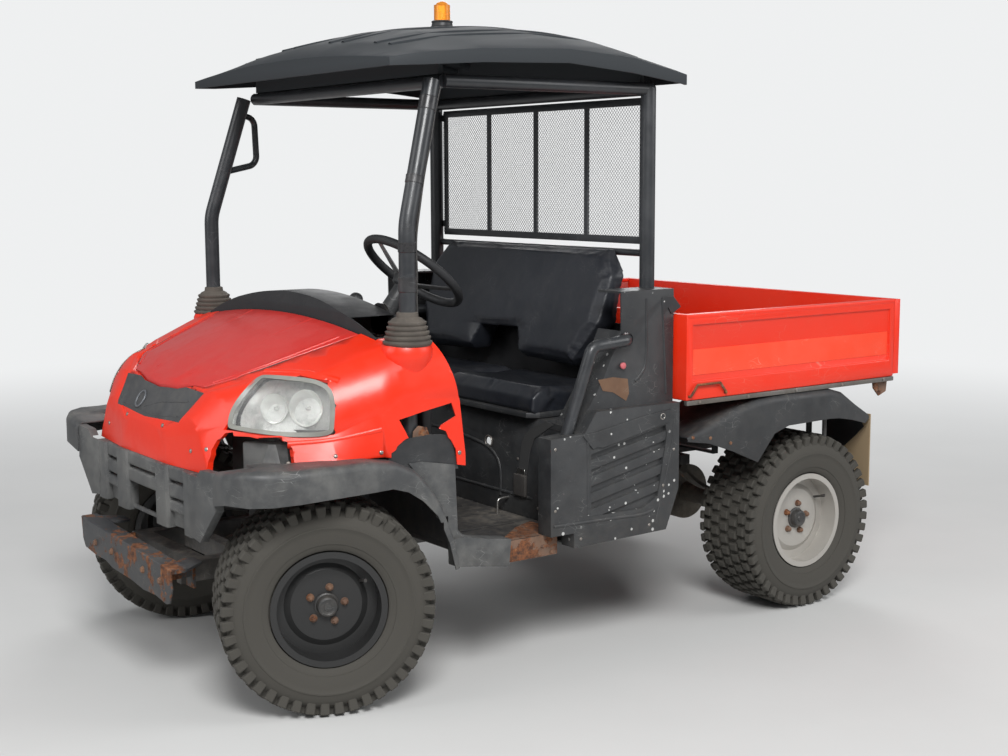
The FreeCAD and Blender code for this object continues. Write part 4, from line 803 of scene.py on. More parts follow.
VECTOR_IN = ("Vector", "NodeSocketVector", 0.0)
MASK = (("Mask", FLOAT),)
SPECKS = Effect("specks", (VECTOR_IN, ("Amount", FLOAT, 0.8)), MASK, build_specks)
BLOTCHES = Effect("blotches", (VECTOR_IN, ("Scale", FLOAT, 4.0)), MASK, build_blotches)
SCUFFS = Effect(
    "scuffs", (VECTOR_IN, ("Scale", FLOAT, 6.0), ("Amount", FLOAT, 0.5)),
    MASK, build_scuffs,
)
DUST = Effect(
    "settled_dust",
    (VECTOR_IN, ("Amount", FLOAT, 0.3), ("Height", FLOAT, 0.5), ("Mud", FLOAT, 0.3)),
    MASK, build_dust,
)
RUST = Effect(
    "rust", (VECTOR_IN, ("Scale", FLOAT, 9.0), ("Amount", FLOAT, 0.3)),
    (("Mask", FLOAT), ("Color", "NodeSocketColor"), ("Height", FLOAT)), build_rust,
)
GRAIN = Effect("grain", (VECTOR_IN, ("Scale", FLOAT, 400.0)), (("Height", FLOAT),), build_grain)


# Finishes


def begun(name: str) -> tuple[bpy.types.Material, Tree]:
    """Starts a material with an empty node tree.

    Args:
        name: The material's name.

    Returns:
        The material and its tree.
    """
    material = bpy.data.materials.new(name)
    material.use_nodes = True
    material.node_tree.nodes.clear()
    return material, Tree(material.node_tree)


@dataclass(frozen=True)
class Worn:
    """A weathered surface: paint, moulded plastic, rubber or bare metal.

    The worn colour shows in blotches, the scuff colour in scratches, and dust lies over both.
    """

    name: str
    slot: str
    colour: Colour
    worn: Colour
    fade: float = 0.4
    rough: tuple[float, float] = (0.4, 0.65)
    metal: float = 0.0
    coat: float = 0.0
    blotch_scale: float = 3.0
    scuff: float = 0.3
    scuff_colour: Colour = (0.3, 0.3, 0.3)
    scuff_scale: float = 7.0
    dust: float = 0.25
    dust_colour: Colour = (0.30, 0.265, 0.215)
    mud: float = 0.3
    mud_height: float = 0.55
    rust: float = 0.0
    rust_scale: float = 9.0
    grain_scale: float = 600.0
    grain: float = 0.15
    specks: float = 0.0

    def material(self) -> bpy.types.Material:
        """Returns the material, built the first time that it is asked for.

        Returns:
            The material.
        """
        if self.name in bpy.data.materials:
            return bpy.data.materials[self.name]
        material, tree = begun(self.name)
        place = tree.add("ShaderNodeTexCoord").outputs["Object"]
        blotch = BLOTCHES.place(tree, vector=place, scale=self.blotch_scale).outputs["Mask"]
        colour = tree.mix(tree.times(blotch, self.fade), self.colour, self.worn)
        scuffs = SCUFFS.place(tree, vector=place, scale=self.scuff_scale, amount=self.scuff).outputs["Mask"]
        colour = tree.mix(scuffs, colour, self.scuff_colour)
        if self.specks:
            colour = tree.mix(
                SPECKS.place(tree, vector=place, amount=self.specks).outputs["Mask"], colour, (0.62, 0.62, 0.60),
            )
        dust = DUST.place(
            tree, vector=place, amount=self.dust, height=self.mud_height, mud=self.mud,
        ).outputs["Mask"]
        rough = tree.span(blotch, 0.0, 1.0, *self.rough)
        height = GRAIN.place(tree, vector=place, scale=self.grain_scale).outputs["Height"]
        height = tree.times(height, self.grain)
        metallic: object = self.metal
        if self.rust:
            rust = RUST.place(tree, vector=place, scale=self.rust_scale, amount=self.rust)
            colour = tree.mix(rust.outputs["Mask"], colour, rust.outputs["Color"])
            rough = tree.math("MAXIMUM", rough, tree.times(rust.outputs["Mask"], 0.85))
            height = tree.math("ADD", height, rust.outputs["Height"])
            if self.metal:
                metallic = tree.span(rust.outputs["Mask"], 0.0, 1.0, self.metal, 0.0)
        colour = tree.mix(dust, colour, self.dust_colour)
        rough = tree.math("MAXIMUM", rough, tree.times(dust, 0.9))
        bump = tree.add("ShaderNodeBump")
        bump.inputs["Strength"].default_value = 0.5
        bump.inputs["Distance"].default_value = 0.001
        tree.feed(bump.inputs["Height"], height)
        shader = tree.add("ShaderNodeBsdfPrincipled")
        tree.feed(shader.inputs["Base Color"], colour)
        tree.feed(shader.inputs["Roughness"], rough)
        tree.feed(shader.inputs["Metallic"], metallic)
        shader.inputs["Coat Weight"].default_value = self.coat
        shader.inputs["Coat Roughness"].default_value = 0.12
        tree.feed(shader.inputs["Normal"], bump.outputs["Normal"])
        out = tree.add("ShaderNodeOutputMaterial")
        tree.feed(out.inputs["Surface"], shader.outputs[0])
        return material


@dataclass(frozen=True)
class ClearLens:
    """Clear or tinted moulded plastic that lets light through."""

    name: str
    slot: str
    colour: Colour
    haze: float = 0.2
    rough: float = 0.08

    def material(self) -> bpy.types.Material:
        """Returns the material, built the first time that it is asked for.

        Returns:
            The material.
        """
        if self.name in bpy.data.materials:
            return bpy.data.materials[self.name]
        material, tree = begun(self.name)
        place = tree.add("ShaderNodeTexCoord").outputs["Object"]
        blotch = BLOTCHES.place(tree, vector=place, scale=14.0).outputs["Mask"]
        shader = tree.add("ShaderNodeBsdfPrincipled")
        shader.inputs["Transmission Weight"].default_value = 1.0 - self.haze
        shader.inputs["IOR"].default_value = 1.35
        tree.feed(
            shader.inputs["Base Color"], tree.mix(blotch, self.colour, tuple(value * 0.9 for value in self.colour)),
        )
        tree.feed(shader.inputs["Roughness"], tree.span(blotch, 0.0, 1.0, self.rough, self.rough + 0.14))
        out = tree.add("ShaderNodeOutputMaterial")
        tree.feed(out.inputs["Surface"], shader.outputs[0])
        return material


Finish = Worn | ClearLens

HOOD_ORANGE = Worn(
    "hood_orange", "orange", (0.60, 0.020, 0.014), (0.56, 0.034, 0.030), fade=0.7, rough=(0.30, 0.46), coat=0.15,
    scuff=0.25, scuff_colour=(0.66, 0.22, 0.18), dust=0.07, mud=0.0, grain=0.04, grain_scale=900.0,
)
BED_ORANGE = Worn(
    "bed_orange", "bed_paint", (0.80, 0.024, 0.0030), (0.74, 0.040, 0.010), rough=(0.34, 0.55), coat=0.05,
    scuff=0.45, scuff_colour=(0.62, 0.30, 0.22), scuff_scale=5.0, dust=0.08, mud=0.0, rust=0.05, grain=0.05,
)
BED_SCRAPED = Worn(
    "bed_scraped", "bed_inner", (0.52, 0.060, 0.050), (0.56, 0.22, 0.19), fade=0.95, rough=(0.5, 0.8), scuff=1.0,
    scuff_colour=(0.34, 0.27, 0.24), scuff_scale=4.0, dust=0.5, mud=0.0, rust=0.34, rust_scale=5.0,
)
BLACK_MOULDED = Worn(
    "black_moulded", "black_plastic", (0.017, 0.018, 0.020), (0.050, 0.052, 0.054), fade=0.55, rough=(0.42, 0.62),
    scuff=0.6, scuff_colour=(0.26, 0.26, 0.25), dust=0.14,
)
GREY_MOULDED = Worn(
    "grey_moulded", "grey_plastic", (0.050, 0.052, 0.054), (0.135, 0.135, 0.130), fade=0.85, rough=(0.5, 0.75),
    blotch_scale=5.0, scuff=0.8, scuff_colour=(0.30, 0.30, 0.29), dust=0.18, mud=0.25,
)
ROOF_BLACK = Worn(
    "roof_black", "roof_black", (0.014, 0.017, 0.023), (0.026, 0.031, 0.040), fade=0.5, rough=(0.36, 0.5),
    scuff=0.12, scuff_colour=(0.12, 0.12, 0.13), dust=0.14, mud=0.0, grain=0.3,
)
TUBE_BLACK = Worn(
    "tube_black", "roof_paint", (0.018, 0.020, 0.023), (0.05, 0.053, 0.058), fade=0.5, rough=(0.33, 0.5), coat=0.15,
    dust=0.1, mud=0.1, rust=0.02,
)
FRAME_BLACK = Worn(
    "frame_black", "frame_paint", (0.03, 0.03, 0.032), (0.07, 0.065, 0.06), fade=0.6, rough=(0.45, 0.75), dust=0.4,
    mud=0.6, rust=0.24,
)
BUMPER_STEEL = Worn(
    "bumper_steel", "frame_paint", (0.028, 0.030, 0.034), (0.085, 0.085, 0.085), fade=0.7, rough=(0.5, 0.75),
    scuff=0.7, scuff_colour=(0.24, 0.20, 0.17), dust=0.12, mud=0.1, rust=0.52, rust_scale=11.0,
)
RUSTED_PLATE = Worn(
    "rusted_plate", "rust", (0.13, 0.080, 0.055), (0.26, 0.135, 0.080), fade=0.9, rough=(0.7, 0.9), scuff=0.4,
    dust=0.2, mud=0.2, rust=0.62, rust_scale=10.0,
)
GREASY_IRON = Worn(
    "greasy_iron", "iron", (0.05, 0.047, 0.043), (0.10, 0.088, 0.07), fade=0.8, rough=(0.5, 0.8), scuff=0.1,
    dust=0.4, mud=0.6, rust=0.3, metal=0.4,
)
DULL_STEEL = Worn(
    "dull_steel", "steel", (0.24, 0.23, 0.22), (0.14, 0.12, 0.10), fade=0.8, rough=(0.4, 0.7), metal=0.8, dust=0.3,
    mud=0.5, rust=0.3,
)
TYRE_RUBBER = Worn(
    "tyre_rubber", "tyre_rubber", (0.045, 0.043, 0.038), (0.150, 0.140, 0.112), fade=0.95, rough=(0.75, 0.92),
    scuff=0.4, scuff_colour=(0.22, 0.205, 0.165), scuff_scale=12.0, dust=0.3, dust_colour=(0.26, 0.235, 0.18),
    mud=0.75, mud_height=1.1, grain=0.3, grain_scale=260.0, blotch_scale=6.0,
)
SOFT_RUBBER = Worn(
    "soft_rubber", "rubber", (0.022, 0.021, 0.021), (0.055, 0.05, 0.047), fade=0.6, rough=(0.55, 0.75), dust=0.3,
    mud=0.2,
)
RIM_BLACK = Worn(
    "rim_black", "rim_black", (0.035, 0.036, 0.038), (0.10, 0.10, 0.098), fade=0.7, rough=(0.45, 0.7), scuff=0.4,
    dust=0.4, dust_colour=(0.24, 0.225, 0.195), mud=0.6, mud_height=0.6, rust=0.1,
)
RIM_SILVER = Worn(
    "rim_silver", "rim_silver", (0.34, 0.33, 0.30), (0.11, 0.10, 0.085), fade=0.9, rough=(0.45, 0.7), metal=0.35,
    blotch_scale=8.0, scuff=0.6, scuff_colour=(0.08, 0.065, 0.05), dust=0.15, mud=0.25, mud_height=0.6, rust=0.36,
    rust_scale=14.0,
)
RUSTY_NUT = Worn(
    "rusty_nut", "rust", (0.13, 0.07, 0.045), (0.24, 0.12, 0.06), fade=0.8, rough=(0.7, 0.9), dust=0.2, mud=0.1,
    rust=0.5,
)
SCREW_STEEL = Worn(
    "screw_steel", "steel", (0.36, 0.34, 0.32), (0.2, 0.17, 0.14), fade=0.7, rough=(0.3, 0.6), metal=0.9, dust=0.2,
    mud=0.1, rust=0.12,
)
BRIGHT_CHROME = Worn(
    "bright_chrome", "steel", (0.7, 0.69, 0.67), (0.5, 0.47, 0.43), rough=(0.1, 0.35), metal=1.0, dust=0.1, mud=0.1,
)
FLAP_TAN = Worn(
    "flap_tan", "flap_tan", (0.42, 0.30, 0.165), (0.56, 0.42, 0.25), fade=0.8, rough=(0.7, 0.9), scuff=0.4,
    dust=0.3,
)
WEBBING = Worn(
    "webbing", "webbing", (0.095, 0.090, 0.082), (0.17, 0.16, 0.145), fade=0.8, rough=(0.8, 0.95), dust=0.3,
    mud=0.2, grain=0.6, grain_scale=900.0,
)
SEAT_COVER = Worn(
    "seat_cover", "seat_fabric", (0.011, 0.013, 0.018), (0.026, 0.028, 0.034), fade=0.5, rough=(0.33, 0.48),
    scuff=0.15, dust=0.07, mud=0.0, grain=0.35, grain_scale=420.0,
)
CARDBOARD = Worn(
    "torn_sticker", "rust", (0.12, 0.062, 0.035), (0.19, 0.11, 0.065), fade=0.9, rough=(0.8, 0.95), dust=0.2,
    mud=0.0,
)
REFLECTOR = Worn(
    "reflector", "lens", (0.92, 0.92, 0.90), (0.7, 0.69, 0.65), fade=0.5, rough=(0.12, 0.3), metal=0.45, scuff=0.0,
    dust=0.05, mud=0.0, grain=0.0,
)
LAMP_SILVER = Worn(
    "lamp_silver", "lens", (0.90, 0.90, 0.88), (0.30, 0.30, 0.29), fade=0.9, rough=(0.25, 0.5), metal=0.15,
    scuff=0.0, blotch_scale=11.0, dust=0.0, mud=0.0, grain=0.0,
)
FASCIA_ORANGE = Worn(
    "fascia_orange", "orange", (0.80, 0.024, 0.0030), (0.77, 0.034, 0.008), fade=0.5, rough=(0.32, 0.48), coat=0.06,
    scuff=0.12, scuff_colour=(0.75, 0.20, 0.12), dust=0.05, mud=0.04, grain=0.04, grain_scale=900.0,
)
BOOT_RUBBER = Worn(
    "boot_rubber", "rubber", (0.055, 0.047, 0.040), (0.115, 0.098, 0.082), fade=0.8, rough=(0.6, 0.85), mud=0.0,
)
FROSTED_RIM = Worn(
    "frosted_rim", "lens", (0.20, 0.20, 0.18), (0.30, 0.30, 0.27), fade=0.8, rough=(0.35, 0.6), scuff=0.5, dust=0.2,
    mud=0.0,
)
GRILLE_GREY = Worn(
    "grille_grey", "black_plastic", (0.040, 0.041, 0.043), (0.075, 0.076, 0.078), fade=0.6, rough=(0.4, 0.6),
    dust=0.2, mud=0.0,
)
RING_GREY = Worn(
    "ring_grey", "black_plastic", (0.13, 0.14, 0.155), (0.2, 0.2, 0.21), fade=0.6, rough=(0.35, 0.5), metal=0.4,
    dust=0.2, mud=0.0,
)
TAPE = Worn(
    "tape", "rubber", (0.016, 0.016, 0.018), (0.055, 0.055, 0.058), fade=0.6, rough=(0.25, 0.45), scuff=0.4,
    dust=0.2, mud=0.0,
)
SOFT_BLACK = Worn(
    "soft_black", "black_plastic", (0.010, 0.0105, 0.012), (0.024, 0.025, 0.027), fade=0.6, rough=(0.55, 0.75),
    scuff=0.15, dust=0.05, mud=0.0,
)
PANEL_BLACK = Worn(
    "panel_black", "black_plastic", (0.020, 0.021, 0.023), (0.052, 0.054, 0.056), fade=0.6, rough=(0.42, 0.62),
    scuff=0.6, scuff_colour=(0.24, 0.24, 0.23), dust=0.14, specks=0.8,
)
PINK_KNOB = Worn(
    "pink_knob", "red_lens", (0.55, 0.11, 0.13), (0.40, 0.12, 0.12), fade=0.6, rough=(0.4, 0.6), dust=0.2, mud=0.0,
)
BED_BAND = Worn(
    "bed_band", "bed_paint", (0.88, 0.058, 0.016), (0.84, 0.075, 0.026), rough=(0.34, 0.6), coat=0.12, scuff=0.5,
    scuff_colour=(0.75, 0.42, 0.33), dust=0.15, mud=0.0, grain=0.05,
)
SPOKE_GREY = Worn(
    "spoke_grey", "steel", (0.16, 0.16, 0.165), (0.28, 0.28, 0.28), fade=0.7, rough=(0.35, 0.55), metal=0.6,
    dust=0.2, mud=0.0,
)
GAUGE_FACE = Worn(
    "gauge_face", "black_plastic", (0.012, 0.012, 0.013), (0.03, 0.03, 0.03), rough=(0.15, 0.3), coat=0.6,
    dust=0.15, mud=0.0,
)
HEADLAMP_LENS = ClearLens("headlamp_lens", "lens", (0.97, 0.98, 0.97), haze=0.05, rough=0.03)
AMBER_LENS = ClearLens("amber_lens", "amber", (0.95, 0.34, 0.03), haze=0.55, rough=0.2)
RED_LENS = ClearLens("red_lens", "red_lens", (0.5, 0.02, 0.015), haze=0.5, rough=0.2)


def dress(piece: Piece, finish: Finish) -> None:
    """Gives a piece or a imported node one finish."""
    piece.data.materials.clear()
    piece.data.materials.append(finish.material())


def fit(piece: Piece, finish: Finish, *nodes: str, body: str = "chassis") -> Piece:
    """Finishes a new piece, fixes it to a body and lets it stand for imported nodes.

    Args:
        piece: The piece, in its place.
        finish: Its finish.
        nodes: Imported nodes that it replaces.
        body: The body that carries it.

    Returns:
        The same piece.
    """
    dress(piece, finish)
    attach(piece, body)
    if nodes:
        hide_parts(*nodes)
    return piece


# Each finish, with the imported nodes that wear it
WORN_BY: tuple[tuple[Finish, str], ...] = (
    (FRAME_BLACK, "chassis_frame front_suspension floor_pan drawbar"),
    (GREASY_IRON, "rear_axle front_axle engine_block knuckle_left knuckle_right"),
    (DULL_STEEL, "tie_bar pedals"),
    (TYRE_RUBBER, "tyre_front_left tyre_front_right tyre_rear_left tyre_rear_right"),
    (RIM_BLACK, "rim_front_left rim_front_right"),
    (RIM_SILVER, "rim_rear_left rim_rear_right"),
    (TUBE_BLACK, "front_posts rear_hoop rear_screen hip_bars grab_handle parking_brake"),
    (SOFT_RUBBER, "post_boots steering_wheel"),
    (ROOF_BLACK, "roof"),
    (BLACK_MOULDED, "beacon_base grille_insert cowl dash_panel seat_base side_panel_left side_panel_right "
        "steering_column gear_lever rear_fenders"),
    (AMBER_LENS, "beacon_lens"),
    (HOOD_ORANGE, "front_fascia hood"),
    (HEADLAMP_LENS, "headlamp_left headlamp_right"),
    (GREY_MOULDED, "front_flares front_guard"),
    (BUMPER_STEEL, "front_bumper"),
    (RUSTED_PLATE, "rockers bed_loops"),
    (SEAT_COVER, "seat_cushion_driver seat_cushion_passenger seat_back"),
    (FLAP_TAN, "mud_flaps"),
    (RED_LENS, "tail_lamps"),
    (BED_SCRAPED, "bed_floor"),
    (BED_ORANGE, "bed_walls tailgate"),
    (WEBBING, "seat_belt"),
)
NODE_FINISHES: dict[str, Finish] = {node: finish for finish, nodes in WORN_BY for node in nodes.split()}


# The studio


@dataclass
class Studio:
    """The plain floor, the soft lamps and the camera."""

    camera_place: Place = (2.9930, 4.2120, 1.5010)
    yaw: float = -125.959
    pitch: float = -7.644
    roll: float = -0.204
    lens: float = 52.95
    sensor: float = 36.0
    floor_half: float = 40.0
    fade: tuple[float, float] = (2.2, 8.0)
    wall: Colour = (0.86, 0.87, 0.875)
    concrete: tuple[Colour, Colour] = ((0.58, 0.58, 0.57), (0.64, 0.64, 0.63))
    sky: Colour = (0.93, 0.96, 1.0)
    sky_light: float = 0.30
    lamp_aim: Place = (0.1, 0.0, 0.8)
    lamps: tuple[tuple[str, Place, float, float], ...] = (
        ("key", (3.0, 4.9, 5.0), 2.4, 440.0),
        ("side", (-4.6, 4.4, 3.6), 3.6, 130.0),
        ("front", (6.0, -1.2, 3.2), 3.2, 90.0),
        ("back", (-3.8, -5.0, 4.2), 3.6, 160.0),
    )

    def build(self) -> None:
        """Sets the whole studio up."""
        self.camera()
        self.floor()
        self.lights()
        self.world()
        bpy.context.scene.view_settings.view_transform = "Standard"

    def camera(self) -> None:
        """Places the camera at the photograph's angle."""
        yaw, pitch, roll = (math.radians(value) for value in (self.yaw, self.pitch, self.roll))
        ahead = Vector((math.cos(yaw) * math.cos(pitch), math.sin(yaw) * math.cos(pitch), math.sin(pitch)))
        right = Vector((math.sin(yaw), -math.cos(yaw), 0.0))
        up = right.cross(ahead)
        turn = Matrix((right, up, -ahead)).transposed().to_4x4()
        data = bpy.data.cameras.new("camera")
        data.lens = self.lens
        data.sensor_width = self.sensor
        data.clip_end = 200.0
        camera = bpy.data.objects.new("camera", data)
        camera.matrix_world = Matrix.Translation(Vector(self.camera_place)) @ turn @ Matrix.Rotation(roll, 4, "Z")
        bpy.context.scene.collection.objects.link(camera)
        bpy.context.scene.camera = camera

    def floor(self) -> None:
        """Lays a pale floor that runs out of sight."""
        deselect()
        bpy.ops.mesh.primitive_plane_add(size=self.floor_half * 2, location=(0, 0, 0))
        floor = settle(bpy.context.object, "studio_floor")
        material = bpy.data.materials.new("studio_floor")
        material.use_nodes = True
        tree = Tree(material.node_tree)
        shader = material.node_tree.nodes["Principled BSDF"]
        shader.inputs["Roughness"].default_value = 0.9
        place = tree.add("ShaderNodeTexCoord").outputs["Object"]
        tone = tree.noise(place, 1.5, 4.0)
        tree.feed(shader.inputs["Base Color"], tree.mix(tone, *self.concrete))
        reach = tree.add("ShaderNodeVectorMath", operation="LENGTH")
        tree.feed(reach.inputs[0], place)
        far = tree.span(reach.outputs["Value"], *self.fade)
        seen = tree.add("ShaderNodeLightPath").outputs["Is Camera Ray"]
        glow = tree.add("ShaderNodeEmission")
        glow.inputs["Color"].default_value = (*self.wall, 1.0)
        blend = tree.add("ShaderNodeMixShader")
        tree.feed(blend.inputs[0], tree.times(far, seen))
        tree.feed(blend.inputs[1], shader.outputs[0])
        tree.feed(blend.inputs[2], glow.outputs[0])
        tree.feed(material.node_tree.nodes["Material Output"].inputs["Surface"], blend.outputs[0])
        floor.data.materials.append(material)

    def lights(self) -> None:
        """Hangs four large soft lamps round the vehicle."""
        for name, spot, size, power in self.lamps:
            data = bpy.data.lights.new(name, "AREA")
            data.size = size
            data.energy = power
            lamp = bpy.data.objects.new(name, data)
            aim = Vector(self.lamp_aim) - Vector(spot)
            lamp.matrix_world = Matrix.Translation(Vector(spot)) @ aim.to_track_quat("-Z", "Y").to_matrix().to_4x4()
            bpy.context.scene.collection.objects.link(lamp)

    def world(self) -> None:
        """Lights the room evenly and shows the camera a pale wall."""
        world = bpy.data.worlds.new("room")
        bpy.context.scene.world = world
        world.use_nodes = True
        world.node_tree.nodes.clear()
        tree = Tree(world.node_tree)
        rays = tree.add("ShaderNodeLightPath")
        seen = tree.math("MAXIMUM", rays.outputs["Is Camera Ray"], rays.outputs["Is Transmission Ray"])
        light = tree.add("ShaderNodeBackground")
        light.inputs["Color"].default_value = (*self.sky, 1.0)
        light.inputs["Strength"].default_value = self.sky_light
        wall = tree.add("ShaderNodeBackground")
        wall.inputs["Color"].default_value = (*self.wall, 1.0)
        blend = tree.add("ShaderNodeMixShader")
        tree.feed(blend.inputs[0], seen)
        tree.feed(blend.inputs[1], light.outputs[0])
        tree.feed(blend.inputs[2], wall.outputs[0])
        out = tree.add("ShaderNodeOutputWorld")
        tree.feed(out.inputs["Surface"], blend.outputs[0])


# Sub-assemblies


@dataclass
class PackedNodes:
    """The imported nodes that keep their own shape."""

    finishes: dict[str, Finish] = field(default_factory=lambda: dict(NODE_FINISHES))

    def build(self) -> list[Piece]:
        """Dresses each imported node.

        Returns:
            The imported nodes' objects.
        """
        for name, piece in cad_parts.items():
            dress(piece, self.finishes[name])
        return list(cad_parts.values())


WHEEL_HEIGHT = 0.30747
PARKED_STEER = -20.0
STEER = Matrix.Rotation(math.radians(PARKED_STEER), 4, "Z")
FLIP = Matrix.Rotation(math.pi, 4, "Z")


@dataclass(frozen=True)
class Wheel:
    """Where one wheel stands and which body carries it."""

    corner: str
    place: Matrix

    @property
    def body(self) -> str:
        """Returns the name of the wheel's body."""
        return f"wheel_{self.corner}"

    @property
    def front(self) -> bool:
        """Tells whether this is a steered wheel."""
        return self.corner.startswith("front")


WHEELS = (
    Wheel("front_left", Matrix.Translation((0.990912, 0.568668, WHEEL_HEIGHT)) @ STEER),
    Wheel("front_right", Matrix.Translation((0.919088, -0.568668, WHEEL_HEIGHT)) @ STEER @ FLIP),
    Wheel("rear_left", Matrix.Translation((-0.865, 0.6, WHEEL_HEIGHT))),
    Wheel("rear_right", Matrix.Translation((-0.865, -0.6, WHEEL_HEIGHT)) @ FLIP),
)


def hoop(name: str, profile: Sequence[tuple[float, float]], sides: int = 64) -> Piece:
    """Extrudes a ring's closed section round the Y axis.

    Args:
        name: The piece's name.
        profile: Distance along Y and radius of each corner of the section.
        sides: How many sides the ring has.

    Returns:
        The ring about the origin.
    """
    deselect()
    spot, radius = profile[0]
    bpy.ops.mesh.primitive_circle_add(vertices=sides, radius=radius, location=(0, 0, spot))
    piece = bpy.context.object
    bpy.ops.object.mode_set(mode="EDIT")
    bpy.ops.mesh.select_mode(type="EDGE")
    bpy.ops.mesh.select_all(action="SELECT")
    for (before, old), (after, new) in zip(profile, list(profile[1:]) + [profile[0]]):
        bpy.ops.mesh.extrude_edges_move(TRANSFORM_OT_translate={"value": (0, 0, after - before)})
        bpy.ops.transform.resize(value=(new / old, new / old, 1), center_override=(0, 0, after))
    bpy.ops.mesh.select_all(action="SELECT")
    bpy.ops.mesh.remove_doubles(threshold=0.00005)
    bpy.ops.mesh.normals_make_consistent(inside=False)
    bpy.ops.object.mode_set(mode="OBJECT")
    settle(piece, name)
    piece.data.transform(Matrix.Rotation(-math.pi / 2, 4, "X"))
    return piece


def eyelet(name: str, place: Sequence[float], way: Sequence[float], radius: float, wire: float) -> Piece:
    """Lays a round metal ring flat on a surface whose outward way is given.

    Args:
        name: The piece's name.
        place: Its place.
        way: The direction.
        radius: Its radius.
        wire: The wire's radius.

    Returns:
        The ring.
    """
    deselect()
    bpy.ops.mesh.primitive_torus_add(major_radius=radius, minor_radius=wire, major_segments=36, minor_segments=10)
    ring = settle(bpy.context.object, name)
    turn = Vector((0, 0, 1)).rotation_difference(Vector(way)).to_matrix().to_4x4()
    ring.data.transform(Matrix.Translation(Vector(place)) @ turn)
    return smoothed(ring)


def ring_of(piece: Piece, count: int, stagger: float = 0.0) -> Piece:
    """Copies a piece round the Y axis with a spin.

    Args:
        piece: The piece.
        count: How many copies.
        stagger: The turn of the first copy, as a part of a step.

    Returns:
        The ring of copies.
    """
    piece.data.transform(Matrix.Rotation(2 * math.pi / count * stagger, 4, "Y"))
    sweep = 2 * math.pi * (count - 1) / count
    with editing(piece):
        bpy.ops.mesh.spin(steps=count - 1, dupli=True, angle=sweep, center=(0, 0, 0), axis=(0, 1, 0))
    return piece


@dataclass
class Tyres:
    """Four blocky all-terrain tyres with three rows of blocks and ribbed shoulders."""

    radius: float = 0.3075
    base: float = 0.2935
    half: float = 0.1235
    count: int = 44
    # row: distance from the middle, block's width, block's length, stagger
    rows: tuple[tuple[float, float, float, float], ...] = (
        (0.0, 0.034, 0.031, 0.0), (0.043, 0.036, 0.029, 0.5), (-0.043, 0.036, 0.029, 0.5),
        (0.0815, 0.030, 0.032, 0.1), (-0.0815, 0.030, 0.032, 0.1),
    )

    def block(self, middle: float, width: float, length: float) -> Piece:
        """Models one tread block with tapered, rounded sides.

        Args:
            middle: The block's place across the tread.
            width: The width of the rounded edge.
            length: The block's length.

        Returns:
            The block.
        """
        low = (-length / 2, middle - width / 2, self.base - 0.008)
        piece = box("block", low, (length / 2, middle + width / 2, self.radius))
        bpy.ops.object.mode_set(mode="EDIT")
        bpy.ops.mesh.select_mode(type="FACE")
        mesh = bmesh.from_edit_mesh(piece.data)
        for face in mesh.faces:
            face.select = face.normal.z > 0.9
        bmesh.update_edit_mesh(piece.data)
        bpy.ops.transform.resize(value=(0.84, 0.88, 1), center_override=(0, middle, self.radius))
        bpy.ops.mesh.bevel(offset=0.0025, segments=1, affect="EDGES")
        bpy.ops.object.mode_set(mode="OBJECT")
        return piece

    def shoulder(self, side: int, deep: float) -> Piece:
        """Models one shoulder lug that runs over the tyre's edge and down its wall.

        Args:
            side: 1 for the outer side, -1 for the inner one.
            deep: How far the lug runs down the wall.

        Returns:
            The lug.
        """
        piece = box("lug", (-0.014, -0.011, -0.024), (0.014, 0.011, 0.024))
        bpy.ops.object.mode_set(mode="EDIT")
        bpy.ops.mesh.select_mode(type="FACE")
        mesh = bmesh.from_edit_mesh(piece.data)
        for face in mesh.faces:
            face.select = face.normal.z < -0.9
        bmesh.update_edit_mesh(piece.data)
        bpy.ops.transform.translate(value=(0, 0.006, -deep))
        bpy.ops.transform.resize(value=(0.8, 0.55, 1), center_override=(0, 0.006, 0))
        bpy.ops.mesh.select_all(action="SELECT")
        bpy.ops.mesh.bevel(offset=0.003, segments=1, affect="EDGES")
        bpy.ops.object.mode_set(mode="OBJECT")
        tilt = Matrix.Rotation(math.radians(-14.0), 4, "X")
        move = Matrix.Translation((0, 0.1065, self.radius - 0.029)) @ tilt
        piece.data.transform(move)
        if side < 0:
            piece.data.transform(FLIP)
        return piece

    def carcass(self) -> Piece:
        """Models the carcass with its bead, bulged walls and raised rings.

        Returns:
            The carcass.
        """
        half, base = self.half, self.base
        wall = [
            (0.0895, 0.1535), (0.0895, 0.168), (0.102, 0.170), (0.109, 0.178), (0.1125, 0.190), (0.1145, 0.1905),
            (0.1155, 0.195), (0.1185, 0.205), (half - 0.002, 0.222), (half, 0.236), (half + 0.0012, 0.2375),
            (half + 0.0012, 0.2415), (half - 0.001, 0.243), (half - 0.0035, 0.258), (half - 0.010, 0.272),
            (half - 0.024, base - 0.008), (half - 0.034, base - 0.001), (0.05, base + 0.0015),
        ]
        other = [(-along_y, radius) for along_y, radius in reversed(wall)]
        return hoop("carcass", wall + [(0.0, base + 0.002)] + other, 88)

    def model(self) -> Piece:
        """Models one tyre about the origin, its outer side towards +Y.

        Returns:
            The tyre.
        """
        parts = [self.carcass()]
        for middle, width, length, stagger in self.rows:
            parts.append(ring_of(self.block(middle, width, length), self.count, stagger))
        for side in (1, -1):
            parts.append(ring_of(self.shoulder(side, 0.012), self.count // 2, 0.25))
            parts.append(ring_of(self.shoulder(side, 0.002), self.count // 2, 0.75))
        return smoothed(joined(parts, "tyre"), 32.0)

    def build(self) -> list[Piece]:
        """Models one tyre and copies it to the four corners.

        Returns:
            The finished pieces.
        """
        source = self.model()
        pieces = []
        for wheel in WHEELS:
            tyre = twin(source, f"tread_{wheel.corner}", wheel.place)
            pieces.append(fit(tyre, TYRE_RUBBER, f"tyre_{wheel.corner}", body=wheel.body))
        bpy.data.objects.remove(source)
        return pieces


